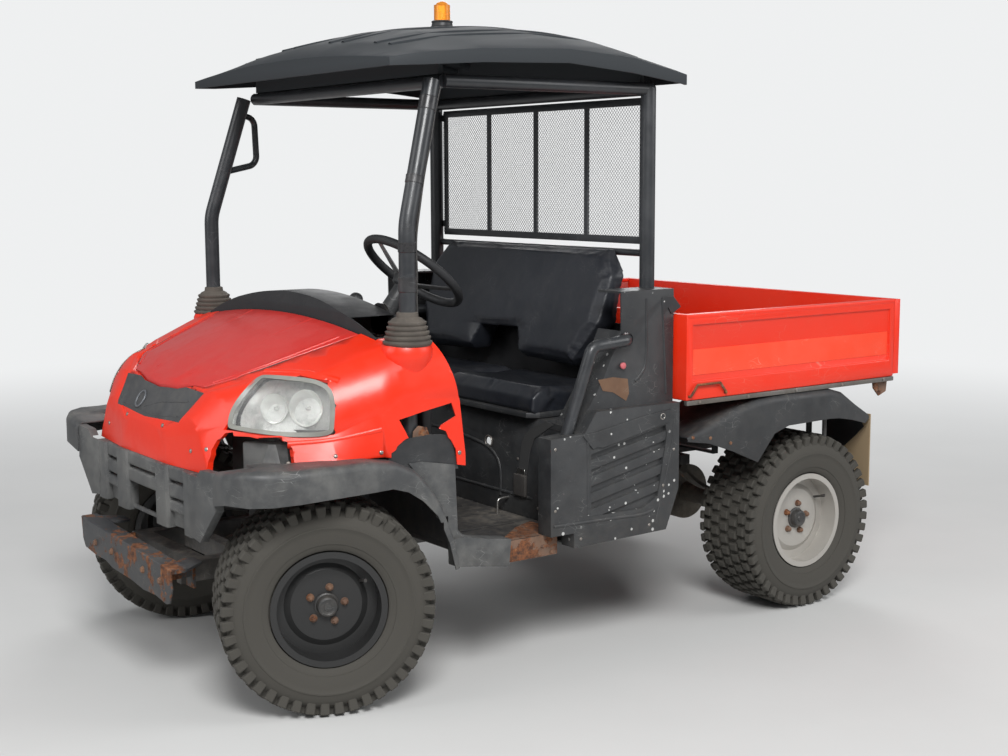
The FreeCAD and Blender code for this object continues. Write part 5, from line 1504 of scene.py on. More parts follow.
@dataclass
class WheelCentres:
    """Wheel nuts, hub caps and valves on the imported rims."""

    nuts: int = 5
    nut_circle: float = 0.052
    face: float = 0.050

    def nut(self, angle: float) -> Piece:
        """Models one domed hexagonal nut on its washer.

        Args:
            angle: Where the nut stands on its circle.

        Returns:
            The nut.
        """
        x, z = self.nut_circle * math.cos(angle), self.nut_circle * math.sin(angle)
        washer = turned(
            "washer", ((0.0, 0.0115), (0.0022, 0.0115), (0.003, 0.0105)), (x, self.face, z), LEFTWARD, 20,
        )
        body = turned(
            "nut", ((0.002, 0.0098), (0.0105, 0.0098), (0.0125, 0.0078), (0.0165, 0.0045), (0.0175, 0.001)),
            (x, self.face, z), LEFTWARD, 6,
        )
        return joined([washer, body], "nut")

    def cap(self) -> Piece:
        """Models the hub's pressed cap with its rolled rim.

        Returns:
            The cap.
        """
        rings = (
            (-0.002, 0.036), (0.004, 0.036), (0.006, 0.0345), (0.007, 0.031), (0.020, 0.0295), (0.0245, 0.027),
            (0.0265, 0.022), (0.0255, 0.0205), (0.0255, 0.012), (0.0275, 0.0105), (0.0282, 0.002),
        )
        return smoothed(turned("cap", rings, (0, self.face, 0), LEFTWARD, 40))

    def valve(self) -> Piece:
        """Models the valve stem that stands out of the rim's well."""
        stem = pipe(
            "valve",
            (
                (-0.098, self.face - 0.004, 0.062), (-0.102, self.face + 0.014, 0.066),
                (-0.104, self.face + 0.030, 0.070),
            ),
            0.0042,
        )
        tip = rod(
            "valve_tip", (-0.1035, self.face + 0.026, 0.0695), (-0.1055, self.face + 0.040, 0.0725), 0.0052, 12,
        )
        return smoothed(joined([stem, tip], "valve"))

    def build(self) -> list[Piece]:
        """Fits nuts, cap and valve to each wheel.

        Returns:
            The finished pieces.
        """
        nuts = joined([self.nut(2 * math.pi * number / self.nuts + 0.5) for number in range(self.nuts)], "nuts")
        nuts = smoothed(nuts, 30.0)
        cap, valve = self.cap(), self.valve()
        pieces = []
        for wheel in WHEELS:
            for source, name, finish in (
                (nuts, "nuts", RUSTY_NUT), (cap, "cap", BLACK_MOULDED), (valve, "valve", SOFT_RUBBER),
            ):
                piece = twin(source, f"{name}_{wheel.corner}", wheel.place)
                pieces.append(fit(piece, finish, body=wheel.body))
        for source in (nuts, cap, valve):
            bpy.data.objects.remove(source)
        return pieces


@dataclass
class ScreenMesh:
    """The woven wire behind the seats, in the rear screen's frame."""

    plane: float = -0.2055
    half: float = 0.588
    low: float = 1.300
    high: float = 1.750
    pitch: float = 0.0135
    wire: float = 0.0019

    def build(self) -> list[Piece]:
        """Weaves slanted wires between the frame's bars.

        Returns:
            The finished pieces.
        """
        deselect()
        across, up = self.half * 2, self.high - self.low
        columns, rows = round(across / self.pitch), round(up / self.pitch)
        bpy.ops.mesh.primitive_grid_add(x_subdivisions=columns, y_subdivisions=rows, size=1.0)
        piece = bpy.context.object
        turn = Matrix(((0, 0, 1), (1, 0, 0), (0, 1, 0))).to_4x4()
        piece.matrix_world = Matrix.Translation((
            self.plane, 0, (self.low + self.high) / 2,
        )) @ turn @ Matrix.Diagonal((across, up, 1, 1))
        settle(piece, "screen_wire")
        bpy.ops.object.mode_set(mode="EDIT")
        bpy.ops.mesh.select_all(action="SELECT")
        bpy.ops.mesh.poke()
        bpy.ops.mesh.select_mode(type="EDGE")
        mesh = bmesh.from_edit_mesh(piece.data)
        for edge in mesh.edges:
            run = edge.verts[0].co - edge.verts[1].co
            edge.select = min(abs(run.y), abs(run.z)) < 1e-5 and len(edge.link_faces) == 2
        bmesh.update_edit_mesh(piece.data)
        bpy.ops.mesh.dissolve_edges(use_verts=False)
        bpy.ops.object.mode_set(mode="OBJECT")
        frame_wires = piece.modifiers.new("wires", "WIREFRAME")
        frame_wires.thickness = self.wire
        frame_wires.use_even_offset = False
        bpy.ops.object.modifier_apply(modifier=frame_wires.name)
        return [fit(piece, TUBE_BLACK)]


@dataclass(frozen=True)
class Softened:
    """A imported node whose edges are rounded, with its finish and its body."""

    node: str
    width: float
    finish: Finish
    body: str = "chassis"
    segments: int = 2


SOFTENED = (
    Softened("hood", 0.0025, HOOD_ORANGE, "hood"),
    Softened("roof", 0.006, ROOF_BLACK, segments=3),
    Softened("front_flares", 0.0018, GREY_MOULDED),
    Softened("front_guard", 0.002, GREY_MOULDED),
    Softened("front_bumper", 0.0016, BUMPER_STEEL),
    Softened("cowl", 0.009, SOFT_BLACK, segments=3),
    Softened("dash_panel", 0.008, SOFT_BLACK, segments=3),
    Softened("seat_base", 0.004, BLACK_MOULDED),
    Softened("rear_fenders", 0.002, BLACK_MOULDED),
    Softened("rockers", 0.0015, RUSTED_PLATE),
    Softened("bed_walls", 0.003, BED_ORANGE, "cargo_bed"),
    Softened("tailgate", 0.003, BED_ORANGE, "tailgate"),
    Softened("drawbar", 0.002, FRAME_BLACK),
    Softened("rear_screen", 0.0015, TUBE_BLACK),
    Softened("chassis_frame", 0.0025, FRAME_BLACK),
)


@dataclass
class Panels:
    """The moulded and pressed panels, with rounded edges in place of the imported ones."""

    rows: tuple[Softened, ...] = SOFTENED

    def build(self) -> list[Piece]:
        """Rounds each listed node.

        Returns:
            The finished pieces.
        """
        pieces = []
        for row in self.rows:
            piece = rounded(row.node, f"{row.node}_panel", row.width, row.segments)
            pieces.append(fit(piece, row.finish, row.node, body=row.body))
        return pieces


# Outline of the left lamp's cover on the fascia, from its front lower corner round its top
LAMP_OUTLINE: tuple[Place, ...] = (
    (1.212, 0.436, 0.815), (1.201, 0.430, 0.854), (1.183, 0.432, 0.883), (1.157, 0.435, 0.913),
    (1.121, 0.430, 0.940),
    (1.093, 0.418, 0.950), (1.080, 0.445, 0.952), (1.050, 0.518, 0.953), (1.016, 0.577, 0.951),
    (0.993, 0.616, 0.940),
    (0.980, 0.636, 0.914), (0.982, 0.646, 0.868), (0.988, 0.646, 0.831), (0.989, 0.647, 0.800),
    (1.022, 0.632, 0.794),
    (1.062, 0.614, 0.794), (1.113, 0.588, 0.797), (1.152, 0.543, 0.802), (1.188, 0.487, 0.806),
    (1.207, 0.447, 0.810),
)
LAMP_AIM = Vector((0.70, 0.68, 0.22)).normalized()
# Torn holes of the fascia: Y and Z of the fore one, X and Z of the rear one
TORN_FRONT = (
    (0.401, 0.655), (0.398, 0.713), (0.403, 0.733), (0.401, 0.746), (0.413, 0.777), (0.421, 0.780), (0.434, 0.798),
    (0.457, 0.802), (0.463, 0.792), (0.505, 0.793), (0.530, 0.789), (0.566, 0.792), (0.595, 0.785), (0.612, 0.760),
    (0.618, 0.740), (0.632, 0.705), (0.640, 0.655),
)
TORN_REAR = (
    (0.612, 0.660), (0.618, 0.724), (0.635, 0.753), (0.643, 0.760), (0.652, 0.781), (0.700, 0.800), (0.760, 0.792),
    (0.775, 0.776), (0.792, 0.771), (0.817, 0.754), (0.822, 0.744), (0.837, 0.737), (0.842, 0.660),
)


@dataclass
class Headlamps:
    """Clear lamp covers with a frosted rim, over two bowls in a bright housing."""

    rim: float = 0.013
    deep: float = 0.055
    # bowl: middle of its mouth on the left side, radius
    bowls: tuple[tuple[Place, float], ...] = (((1.030, 0.560, 0.866), 0.054), ((1.092, 0.488, 0.862), 0.044))

    def patch(self, name: str, lift: float, size: float = 1.0) -> Piece:
        """Spans a smooth skin over the lamp's outline, lifted along its aim.

        Args:
            name: The piece's name.
            lift: How far along the lamp's aim.
            size: The outline's scale.

        Returns:
            The skin.
        """
        middle = sum((Vector(point) for point in LAMP_OUTLINE), Vector()) / len(LAMP_OUTLINE)
        points = [middle + (Vector(point) - middle) * size + LAMP_AIM * lift for point in LAMP_OUTLINE]
        piece = meshed(drawn(name, points), name)
        bpy.ops.object.mode_set(mode="EDIT")
        bpy.ops.mesh.select_mode(type="EDGE")
        bpy.ops.mesh.select_all(action="SELECT")
        bpy.ops.mesh.fill_grid(span=4)
        bpy.ops.mesh.select_all(action="SELECT")
        bpy.ops.mesh.normals_make_consistent(inside=False)
        bpy.ops.object.mode_set(mode="OBJECT")
        soften = piece.modifiers.new("soften", "SUBSURF")
        soften.levels = 2
        bpy.ops.object.modifier_apply(modifier=soften.name)
        return piece

    def bowl(self, place: Place, radius: float) -> Piece:
        """Models one round reflector that looks forward and outward.

        Args:
            place: Its place.
            radius: Its radius.

        Returns:
            The bowl with its bulb.
        """
        rings = (
            (-radius * 0.75, radius * 0.16), (-radius * 0.62, radius * 0.45), (-radius * 0.42, radius * 0.70),
            (-radius * 0.2, radius * 0.88), (0.0, radius), (0.002, radius * 0.97), (-radius * 0.2, radius * 0.84),
            (-radius * 0.42, radius * 0.66), (-radius * 0.6, radius * 0.42), (-radius * 0.68, radius * 0.12),
        )
        way = Vector((0.80, 0.55, 0.12))
        dish = turned("bowl", rings, place, way, 40)
        bulb = turned("bulb", (
            (-radius * 0.62, radius * 0.11), (-radius * 0.2, radius * 0.12), (-radius * 0.08, radius * 0.07),
            (-radius * 0.02, 0.001),
        ), place, way, 16)
        return smoothed(joined([dish, bulb], "bowl"))

    def opening(self) -> Piece:
        """Models the block that is cut out of the fascia behind the cover.

        Returns:
            The block.
        """
        block = self.patch("lamp_opening", -0.10, 0.97)
        pick(block, lambda middle, normal: True)
        bpy.ops.mesh.extrude_region_move(TRANSFORM_OT_translate={"value": LAMP_AIM * 0.15})
        bpy.ops.object.mode_set(mode="OBJECT")
        return block

    def build(self) -> list[Piece]:
        """Models both lamps.

        Returns:
            The finished pieces.
        """
        cover = smoothed(thickened(self.patch("lamp_cover", 0.004), 0.0022))
        rim = self.patch("lamp_rim", 0.0048)
        pick(rim, lambda middle, normal: True)
        bpy.ops.mesh.inset(thickness=self.rim, use_boundary=True)
        bpy.ops.mesh.delete(type="FACE")
        bpy.ops.object.mode_set(mode="OBJECT")
        rim = smoothed(thickened(rim, 0.0026, 0.0))
        back = smoothed(thickened(self.patch("lamp_back", -self.deep, 0.90), 0.0015))
        walls = self.patch("lamp_walls", 0.002, 0.985)
        pick(walls, lambda middle, normal: True)
        bpy.ops.mesh.inset(thickness=0.001, use_boundary=True)
        bpy.ops.mesh.delete(type="FACE")
        bpy.ops.mesh.select_all(action="SELECT")
        bpy.ops.mesh.extrude_region_move(TRANSFORM_OT_translate={"value": -LAMP_AIM * self.deep})
        bpy.ops.object.mode_set(mode="OBJECT")
        back = joined([back, walls], "lamp_back")
        bowls = joined([self.bowl(place, radius) for place, radius in self.bowls], "lamp_bowls")
        pieces = []
        for name, move in (("left", None), ("right", OTHER_SIDE)):
            for source, finish in (
                (cover, HEADLAMP_LENS), (rim, FROSTED_RIM), (back, LAMP_SILVER), (bowls, REFLECTOR),
            ):
                piece = twin(source, f"{source.name}_{name}", move or Matrix.Identity(4))
                nodes = (f"headlamp_{name}",) if source is cover else ()
                pieces.append(fit(piece, finish, *nodes))
        for source in (cover, rim, back, bowls):
            bpy.data.objects.remove(source)
        return pieces


@dataclass
class Fascia:
    """The moulded fascia with its torn holes, the creases and the pieces behind them."""

    lamps: Headlamps = field(default_factory=Headlamps)
    # X and Y of the dark sheet that closes the nose behind the fore hole
    back: tuple[Place, ...] = (
        (1.170, 0.375), (1.030, 0.585), (0.985, 0.610), (0.980, 0.605), (1.024, 0.578), (1.164, 0.371),
    )
    case_place: Place = (1.128, 0.508, 0.712)
    case_turn: float = -52.0
    # ring of the collar under a post's bellows: height and radius
    collar: tuple[Place, ...] = (
        (-0.110, 0.050), (-0.062, 0.066), (-0.036, 0.0765), (-0.014, 0.0755), (-0.004, 0.0705), (0.0, 0.060),
    )
    post: tuple[float, float, float] = (0.742, 0.632, 1.037)

    def build(self) -> list[Piece]:
        """Cuts the holes and fits the fascia with what is seen through them.

        Returns:
            The finished pieces.
        """
        skin = copied("front_fascia", "fascia_skin")
        left = self.lamps.opening()
        right = twin(left, "lamp_opening_right", OTHER_SIDE)
        front = plate("torn_front", TORN_FRONT, 0.24, Plane.FRONT, 1.22, 0.0001)
        rear = plate("torn_rear", TORN_REAR, 0.12, Plane.SIDE, 0.705, 0.0001)
        skin = smoothed(carved(skin, left, right, front, rear), 30.0)
        back = plate("nose_back", self.back, 0.165, Plane.TOP, 0.7225, 0.001)
        case = bevelled(box("fender_case", (-0.07, -0.012, -0.060), (0.07, 0.012, 0.060)), 0.006, 3)
        case.data.transform(
            Matrix.Translation(self.case_place) @ Matrix.Rotation(math.radians(self.case_turn), 4, "Z")
        )
        x, y, z = self.post
        seats = [smoothed(turned("boot_seat", self.collar, (x, side * y, z), UPWARD, 48), 40.0) for side in (1, -1)]
        return [
            fit(skin, FASCIA_ORANGE, "front_fascia"), fit(both(back, "nose_backs"), SOFT_RUBBER),
            fit(both(case, "fender_cases"), GREY_MOULDED), fit(joined(seats, "boot_seats"), FASCIA_ORANGE),
        ]


@dataclass
class Bellows:
    """The rubber bellows at the feet of the front posts."""

    place: Place = (0.742, 0.640, 1.037)

    def build(self) -> list[Piece]:
        """Models both bellows with five folds.

        Returns:
            The finished pieces.
        """
        profile = [(-0.006, 0.066)]
        for fold in range(5):
            outer, inner, low = 0.0715 - 0.0040 * fold, 0.0640 - 0.0040 * fold, 0.0140 * fold
            profile += [(low, outer - 0.001), (low + 0.002, outer), (low + 0.006, outer), (low + 0.0095, inner)]
        profile += [(0.0705, 0.044), (0.076, 0.0325), (0.088, 0.0310), (0.090, 0.0265)]
        left = smoothed(turned("bellows", profile, self.place, UPWARD, 48), 50.0)
        return [fit(both(left, "post_bellows"), BOOT_RUBBER, "post_boots")]


@dataclass
class NoseTrim:
    """The grille's relief, its bare ring place, the screws, the hood's creases and a black bead of painted shadow
    in the hood's gap.
    """

    ring: Place = (1.30, -0.078, 0.838)

    def grille(self) -> list[Piece]:
        """Models the grille insert with a raised border, a panel and a bare ring.

        Returns:
            The finished pieces.
        """
        insert = rounded("grille_insert", "grille_panel", 0.001)
        place, normal = landed("grille_insert", self.ring, BACKWARD)
        deselect()
        bpy.ops.mesh.primitive_torus_add(
            major_radius=0.026, minor_radius=0.0032, major_segments=40, minor_segments=10,
        )
        ring = bpy.context.object
        ring.matrix_world = Matrix.Translation(place + normal * 0.002) @ along(normal)
        ring = smoothed(settle(ring, "grille_ring"))
        disc = smoothed(turned(
            "grille_disc", ((-0.002, 0.0235), (0.001, 0.0235), (0.0018, 0.0215), (0.0022, 0.004)), place, normal,
            36,
        ))
        corners = ((1.30, -0.03, 0.822), (1.30, 0.055, 0.846), (1.30, 0.150, 0.854), (1.30, 0.222, 0.862))
        bead = ridge("grille_bead", "grille_insert", corners, BACKWARD, 0.0030, 0.2)
        lower = ((1.30, -0.20, 0.815), (1.30, -0.03, 0.805), (1.30, 0.09, 0.808), (1.30, 0.20, 0.818))
        border = ridge("grille_border", "grille_insert", lower, BACKWARD, 0.0026, 0.2)
        return [
            fit(insert, GRILLE_GREY, "grille_insert"), fit(ring, RING_GREY),
            fit(disc, GRILLE_GREY), fit(joined([bead, border], "grille_beads"), GRILLE_GREY),
        ]

    def fasteners(self) -> Piece:
        """Seats the screws along the fascia's lower edge, alike on both sides.

        Returns:
            The screws.
        """
        aims = []
        for y, z in ((0.31, 0.734), (0.135, 0.786), (0.384, 0.748)):
            aims += [("front_fascia", (1.5, side * y, z), BACKWARD) for side in (1, -1)]
        for x, z in ((1.118, 0.727), (0.999, 0.742), (0.869, 0.742), (0.606, 0.713)):
            aims += [("front_fascia", (x, side, z), (0, -side, 0)) for side in (1, -1)]
        return fit(screws("fascia_screws", aims, 0.0062), SCREW_STEEL)

    def creases(self) -> list[Piece]:
        """Raises the hood's long creases and the crease above each headlamp, and lays a black bead of painted
        shadow along the hood's gap.

        Returns:
            The finished pieces.
        """
        middle = ((0.812, 0.20, 1.3), (0.95, 0.175, 1.3), (1.08, 0.150, 1.3), (1.18, 0.120, 1.3))
        hood = both(ridge("hood_crease", "hood", middle, DOWNWARD, 0.016, 0.90), "hood_creases")
        lip = both(ridge("hood_lip", "hood", self.edge(-0.012), DOWNWARD, 0.0065, 0.55), "hood_lips")
        # painted shadow: a black bead on the fascia just outside the hood's edge darkens the gap where the hood's
        # edge shades it
        gap_shadow_bead = both(ridge("hood_gap_painted_shadow", "front_fascia", self.edge(0.014), DOWNWARD, 0.0042, 0.72), "hood_gap_painted_shadows")
        brow = ridge("brow", "front_fascia", (
            (1.072, 0.400, 1.3), (1.022, 0.500, 1.3), (0.985, 0.580, 1.3), (0.955, 0.618, 1.3),
        ), DOWNWARD, 0.013, 0.62)
        under = ridge("under", "front_fascia", [
            (x, 1.0, z) for x, z in ((1.110, 0.779), (1.025, 0.781), (0.956, 0.790), (0.864, 0.806))
        ], RIGHTWARD, 0.012, 0.80)
        return [
            fit(hood, HOOD_ORANGE, body="hood"), fit(lip, HOOD_ORANGE, body="hood"), fit(gap_shadow_bead, SOFT_RUBBER),
            fit(both(joined([brow, under], "fender_creases"), "fender_creases"), FASCIA_ORANGE),
        ]

    @staticmethod
    def edge(shift: float) -> list[Place]:
        """Returns points along the hood's side edge, shifted across it."""
        line = ((1.175, 0.285), (1.130, 0.345), (1.075, 0.372), (1.0, 0.398), (0.92, 0.420), (0.845, 0.440))
        return [(x, y + shift, 1.3) for x, y in line]

    def build(self) -> list[Piece]:
        """Fits everything on the nose."""
        return [*self.grille(), self.fasteners(), *self.creases()]


@dataclass
class FrontWork:
    """Bumper bolts, the linings behind the broken corner and the stay in the rear hole."""

    # bolt: Y and Z on the bumper's front
    bolts: tuple[Place, ...] = ((-0.229, 0.372), (-0.094, 0.371), (0.149, 0.366), (0.274, 0.360))
    # outlines of the lining and the stay: X and Z, with the Y that each lies at
    lining: tuple[Place, ...] = (
        (0.606, 0.665), (0.848, 0.665), (0.842, 0.742), (0.790, 0.771), (0.702, 0.776), (0.634, 0.768),
    )
    lining_y: float = 0.6930
    stay: tuple[Place, ...] = ((0.684, 0.745), (0.752, 0.745), (0.748, 0.786), (0.731, 0.801), (0.702, 0.794))
    stay_y: float = 0.6735

    def build(self) -> list[Piece]:
        """Fits the small pieces of the front.

        Returns:
            The finished pieces.
        """
        bolts = []
        for y, z in self.bolts:
            place, normal = landed("front_bumper", (1.6, y, z), BACKWARD)
            bolts.append(bolt("bumper_bolt", place, normal, 0.009, 0.007))
        lining = plate("fender_lining", self.lining, 0.003, Plane.SIDE, self.lining_y, 0.0008)
        stay = plate("post_stay", self.stay, 0.004, Plane.SIDE, self.stay_y)
        return [
            fit(joined(bolts, "bumper_bolts"), RUSTY_NUT), fit(both(lining, "fender_lining"), BLACK_MOULDED),
            fit(both(stay, "post_stays"), RUSTED_PLATE),
        ]


@dataclass
class RoofWork:
    """The roof's raised ribs and the beacon's collar."""

    # distance of each rib from the middle
    lines: tuple[float, ...] = (0.115, 0.195, 0.385, 0.465)

    def build(self) -> list[Piece]:
        """Fits the roof's ribs and the collar.

        Returns:
            The finished pieces.
        """
        ribs = []
        for y in self.lines:
            stations = [-0.265, -0.15, 0.0, 0.15, 0.3, 0.45, 0.58, 0.68]
            ribs.append(ridge("rib", "roof", [(x, y, 2.2) for x in stations], DOWNWARD, 0.014, 0.62))
        ribs = both(joined(ribs, "roof_ribs"), "roof_ribs")
        collar = smoothed(turned("beacon_collar", (
            (0.0, 0.040), (0.006, 0.040), (0.009, 0.036), (0.018, 0.034), (0.020, 0.0355), (0.024, 0.0355),
            (0.026, 0.032),
        ), (0.187, 0.0, 1.9985), UPWARD, 36))
        return [fit(ribs, ROOF_BLACK), fit(collar, BLACK_MOULDED)]


@dataclass
class PostTrim:
    """Tape bands and two loose wires on the near front post."""

    foot: Place = (0.742, 0.643, 0.0)
    bend_z: float = 1.373
    top: Place = (0.625, 0.600, 1.782)

    def spot(self, height: float) -> tuple[Vector, Vector]:
        """Returns the post's middle and its direction at a height.

        Args:
            height: The height above the ground.

        Returns:
            The place and the direction.
        """
        if height <= self.bend_z:
            return Vector((self.foot[0], self.foot[1], height)), Vector((0, 0, 1))
        low = Vector((self.foot[0], self.foot[1], self.bend_z))
        way = Vector(self.top) - low
        return low + way * ((height - self.bend_z) / way.z), way.normalized()

    def build(self) -> list[Piece]:
        """Wraps the bands and strings the wires.

        Returns:
            The finished pieces.
        """
        bands = []
        for height, reach in ((1.715, 0.020), (1.50, 0.012), (1.31, 0.014), (1.205, 0.022)):
            place, way = self.spot(height)
            rings = (
                (-reach, 0.0248), (-reach * 0.9, 0.0262), (reach * 0.2, 0.0258), (reach * 0.9, 0.0264),
                (reach, 0.0248),
            )
            bands.append(smoothed(turned("band", rings, place, way, 32)))
        wires = []
        for shift, lag in ((0.006, -0.028), (-0.004, -0.031)):
            points = []
            for height in (1.09, 1.16, 1.24, 1.33, 1.42, 1.52, 1.62, 1.70, 1.76):
                place, _ = self.spot(height)
                wave = 0.004 * math.sin(height * 37.0 + shift * 900.0)
                points.append(place + Vector((lag, shift + wave, 0)))
            wires.append(pipe("wire", points, 0.0028))
        return [
            fit(joined(bands, "post_tape"), TAPE), fit(joined(wires, "post_wires"), SOFT_RUBBER),
        ]


@dataclass
class Seats:
    """Two padded cushions on black pans and one padded back, in glossy vinyl."""

    pressure: float = 4.0
    # pad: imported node, piece's name, how much smaller it starts, how far a point may swell
    pads: tuple[tuple[str, str, float, float], ...] = (
        ("seat_cushion_driver", "cushion_driver", 0.010, 0.013),
        ("seat_cushion_passenger", "cushion_passenger", 0.010, 0.013),
        ("seat_back", "back_pad", 0.010, 0.012),
    )

    def pad(self, node: str, name: str, shrink: float, cap: float) -> Piece:
        """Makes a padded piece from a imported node's shape.

        Args:
            node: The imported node.
            name: The piece's name.
            shrink: How much smaller the pad starts.
            cap: The furthest that a point may move.

        Returns:
            The pad.
        """
        pad = copied(node, name)
        with editing(pad):
            bpy.ops.transform.shrink_fatten(value=-shrink)
        pad = swell(pad, self.pressure, cap)
        fit(pad, SEAT_COVER, node)
        return pad

    def build(self) -> list[Piece]:
        """Models the pads and their pans.

        Returns:
            The finished pieces.
        """
        pieces = [self.pad(*row) for row in self.pads]
        pans = []
        for low, high in ((0.020, 0.540), (-0.540, -0.020)):
            outline = (
                (-0.130, low), (0.190, low), (0.222, low + 0.030), (0.226, (low + high) / 2), (0.222, high - 0.030),
                (0.190, high), (-0.130, high),
            )
            pans.append(plate("seat_pan", outline, 0.018, Plane.TOP, 0.7605, 0.004))
        pieces.append(fit(smoothed(joined(pans, "seat_pans")), BLACK_MOULDED))
        return pieces


@dataclass
class SeatBaseTrim:
    """The front of the seat base: its bead, ringed hole, screws, belt and floor hook."""

    face: float = 0.190

    def belt(self) -> list[Piece]:
        """Hangs the belt's strap with its buckle over the front.

        Returns:
            The finished pieces.
        """
        strap = plate("belt_strap", (
            (0.575, 0.748), (0.502, 0.717), (0.462, 0.690), (0.444, 0.654), (0.434, 0.600), (0.431, 0.557),
            (0.477, 0.557),
            (0.482, 0.600), (0.490, 0.637), (0.515, 0.684), (0.580, 0.722), (0.612, 0.742),
        ), 0.0024, Plane.FRONT, self.face + 0.0018)
        buckle = box("buckle", (self.face + 0.0004, 0.413, 0.487), (self.face + 0.0125, 0.476, 0.558))
        buckle = bevelled(buckle, 0.004, 3)
        tongue = plate(
            "tongue", ((0.425, 0.554), (0.467, 0.554), (0.468, 0.578), (0.428, 0.578)), 0.0026, Plane.FRONT,
            self.face + 0.006,
        )
        return [
            fit(strap, WEBBING, "seat_belt"), fit(buckle, SOFT_RUBBER),
            fit(tongue, BRIGHT_CHROME),
        ]

    def build(self) -> list[Piece]:
        """Fits the small pieces on and below the seat base.

        Returns:
            The finished pieces.
        """
        bead = ridge("base_bead", "seat_base", [
            (0.5, y, z) for y,
            z in (
                (-0.15, 0.652), (0.04, 0.648), (0.20, 0.634), (0.275, 0.618), (0.318, 0.585), (0.330, 0.53),
                (0.325, 0.47),
            )
        ], BACKWARD, 0.007, 0.45)
        ledge = ridge(
            "base_ledge", "seat_base", [(0.5, y, 0.486) for y in (-0.50, -0.2, 0.1, 0.30, 0.50)], BACKWARD, 0.006,
            0.4,
        )
        ring = eyelet("hole_ring", (self.face, 0.260, 0.640), (1, 0, 0), 0.019, 0.0026)
        aims = [
            ("seat_base", (0.5, y, z), BACKWARD)
            for y, z in (
                (0.423, 0.605), (0.553, 0.618), (0.553, 0.512), (0.529, 0.460), (-0.42, 0.605), (-0.553, 0.618),
            )
        ]
        hook = pipe(
            "floor_hook",
            (
                (0.232, 0.367, 0.4205), (0.232, 0.367, 0.452), (0.229, 0.367, 0.466), (0.214, 0.369, 0.4705),
                (0.1905, 0.372, 0.471),
            ),
            0.004,
        )
        rust = plate(
            "rusted_edge", ((0.215, 0.520), (0.300, 0.560), (0.420, 0.655), (0.425, 0.686), (0.212, 0.686)), 0.0016,
            Plane.TOP, 0.4208, 0.0005,
        )
        sill = [
            bolt("sill_bolt", (x, side * 0.6945, 0.364), (0, side, 0), 0.006, 0.004)
            for x in (0.310, 0.262) for side in (1, -1)
        ]
        return [
            fit(joined([bead, ledge], "base_beads"), BLACK_MOULDED), fit(ring, SCREW_STEEL),
            fit(screws("base_screws", aims, 0.005), SCREW_STEEL), fit(smoothed(hook), BRIGHT_CHROME),
            fit(rust, RUSTED_PLATE), fit(joined(sill, "sill_bolts"), RUSTY_NUT), *self.belt(),
        ]


@dataclass
class SidePanels:
    """The side panels, hollow behind their front corner, and the bulkhead between them."""

    # corners of the hollow on the left side, and the outlines, as Y and Z, of what closes the gaps
    hollow: tuple[Place, Place] = ((0.192, 0.560, 0.350), (0.340, 0.672, 0.738))
    filler: tuple[Place, ...] = ((0.560, 0.425), (0.700, 0.425), (0.700, 0.745), (0.560, 0.745))
    bulkhead: tuple[Place, ...] = (
        (-0.640, 0.760), (0.640, 0.760), (0.640, 1.000), (0.560, 1.030), (-0.560, 1.030), (-0.640, 1.000),
    )

    def build(self) -> list[Piece]:
        """Rounds and hollows both panels and closes what lies behind them.

        Returns:
            The finished pieces.
        """
        pieces = []
        for name, side in (("left", 1), ("right", -1)):
            (x0, y0, z0), (x1, y1, z1) = self.hollow
            low, high = sorted((y0 * side, y1 * side))
            hollow = box("hollow", (x0, low, z0), (x1, high, z1))
            panel = smoothed(carved(rounded(f"side_panel_{name}", f"{name}_panel", 0.006, 3), hollow))
            pieces.append(fit(panel, PANEL_BLACK, f"side_panel_{name}"))
        filler = plate("base_side", self.filler, 0.004, Plane.FRONT, 0.1885, 0.001)
        bulkhead = plate("bulkhead", self.bulkhead, 0.004, Plane.FRONT, -0.163, 0.001)
        return [*pieces, fit(both(filler, "base_sides"), BLACK_MOULDED), fit(bulkhead, SOFT_BLACK)]


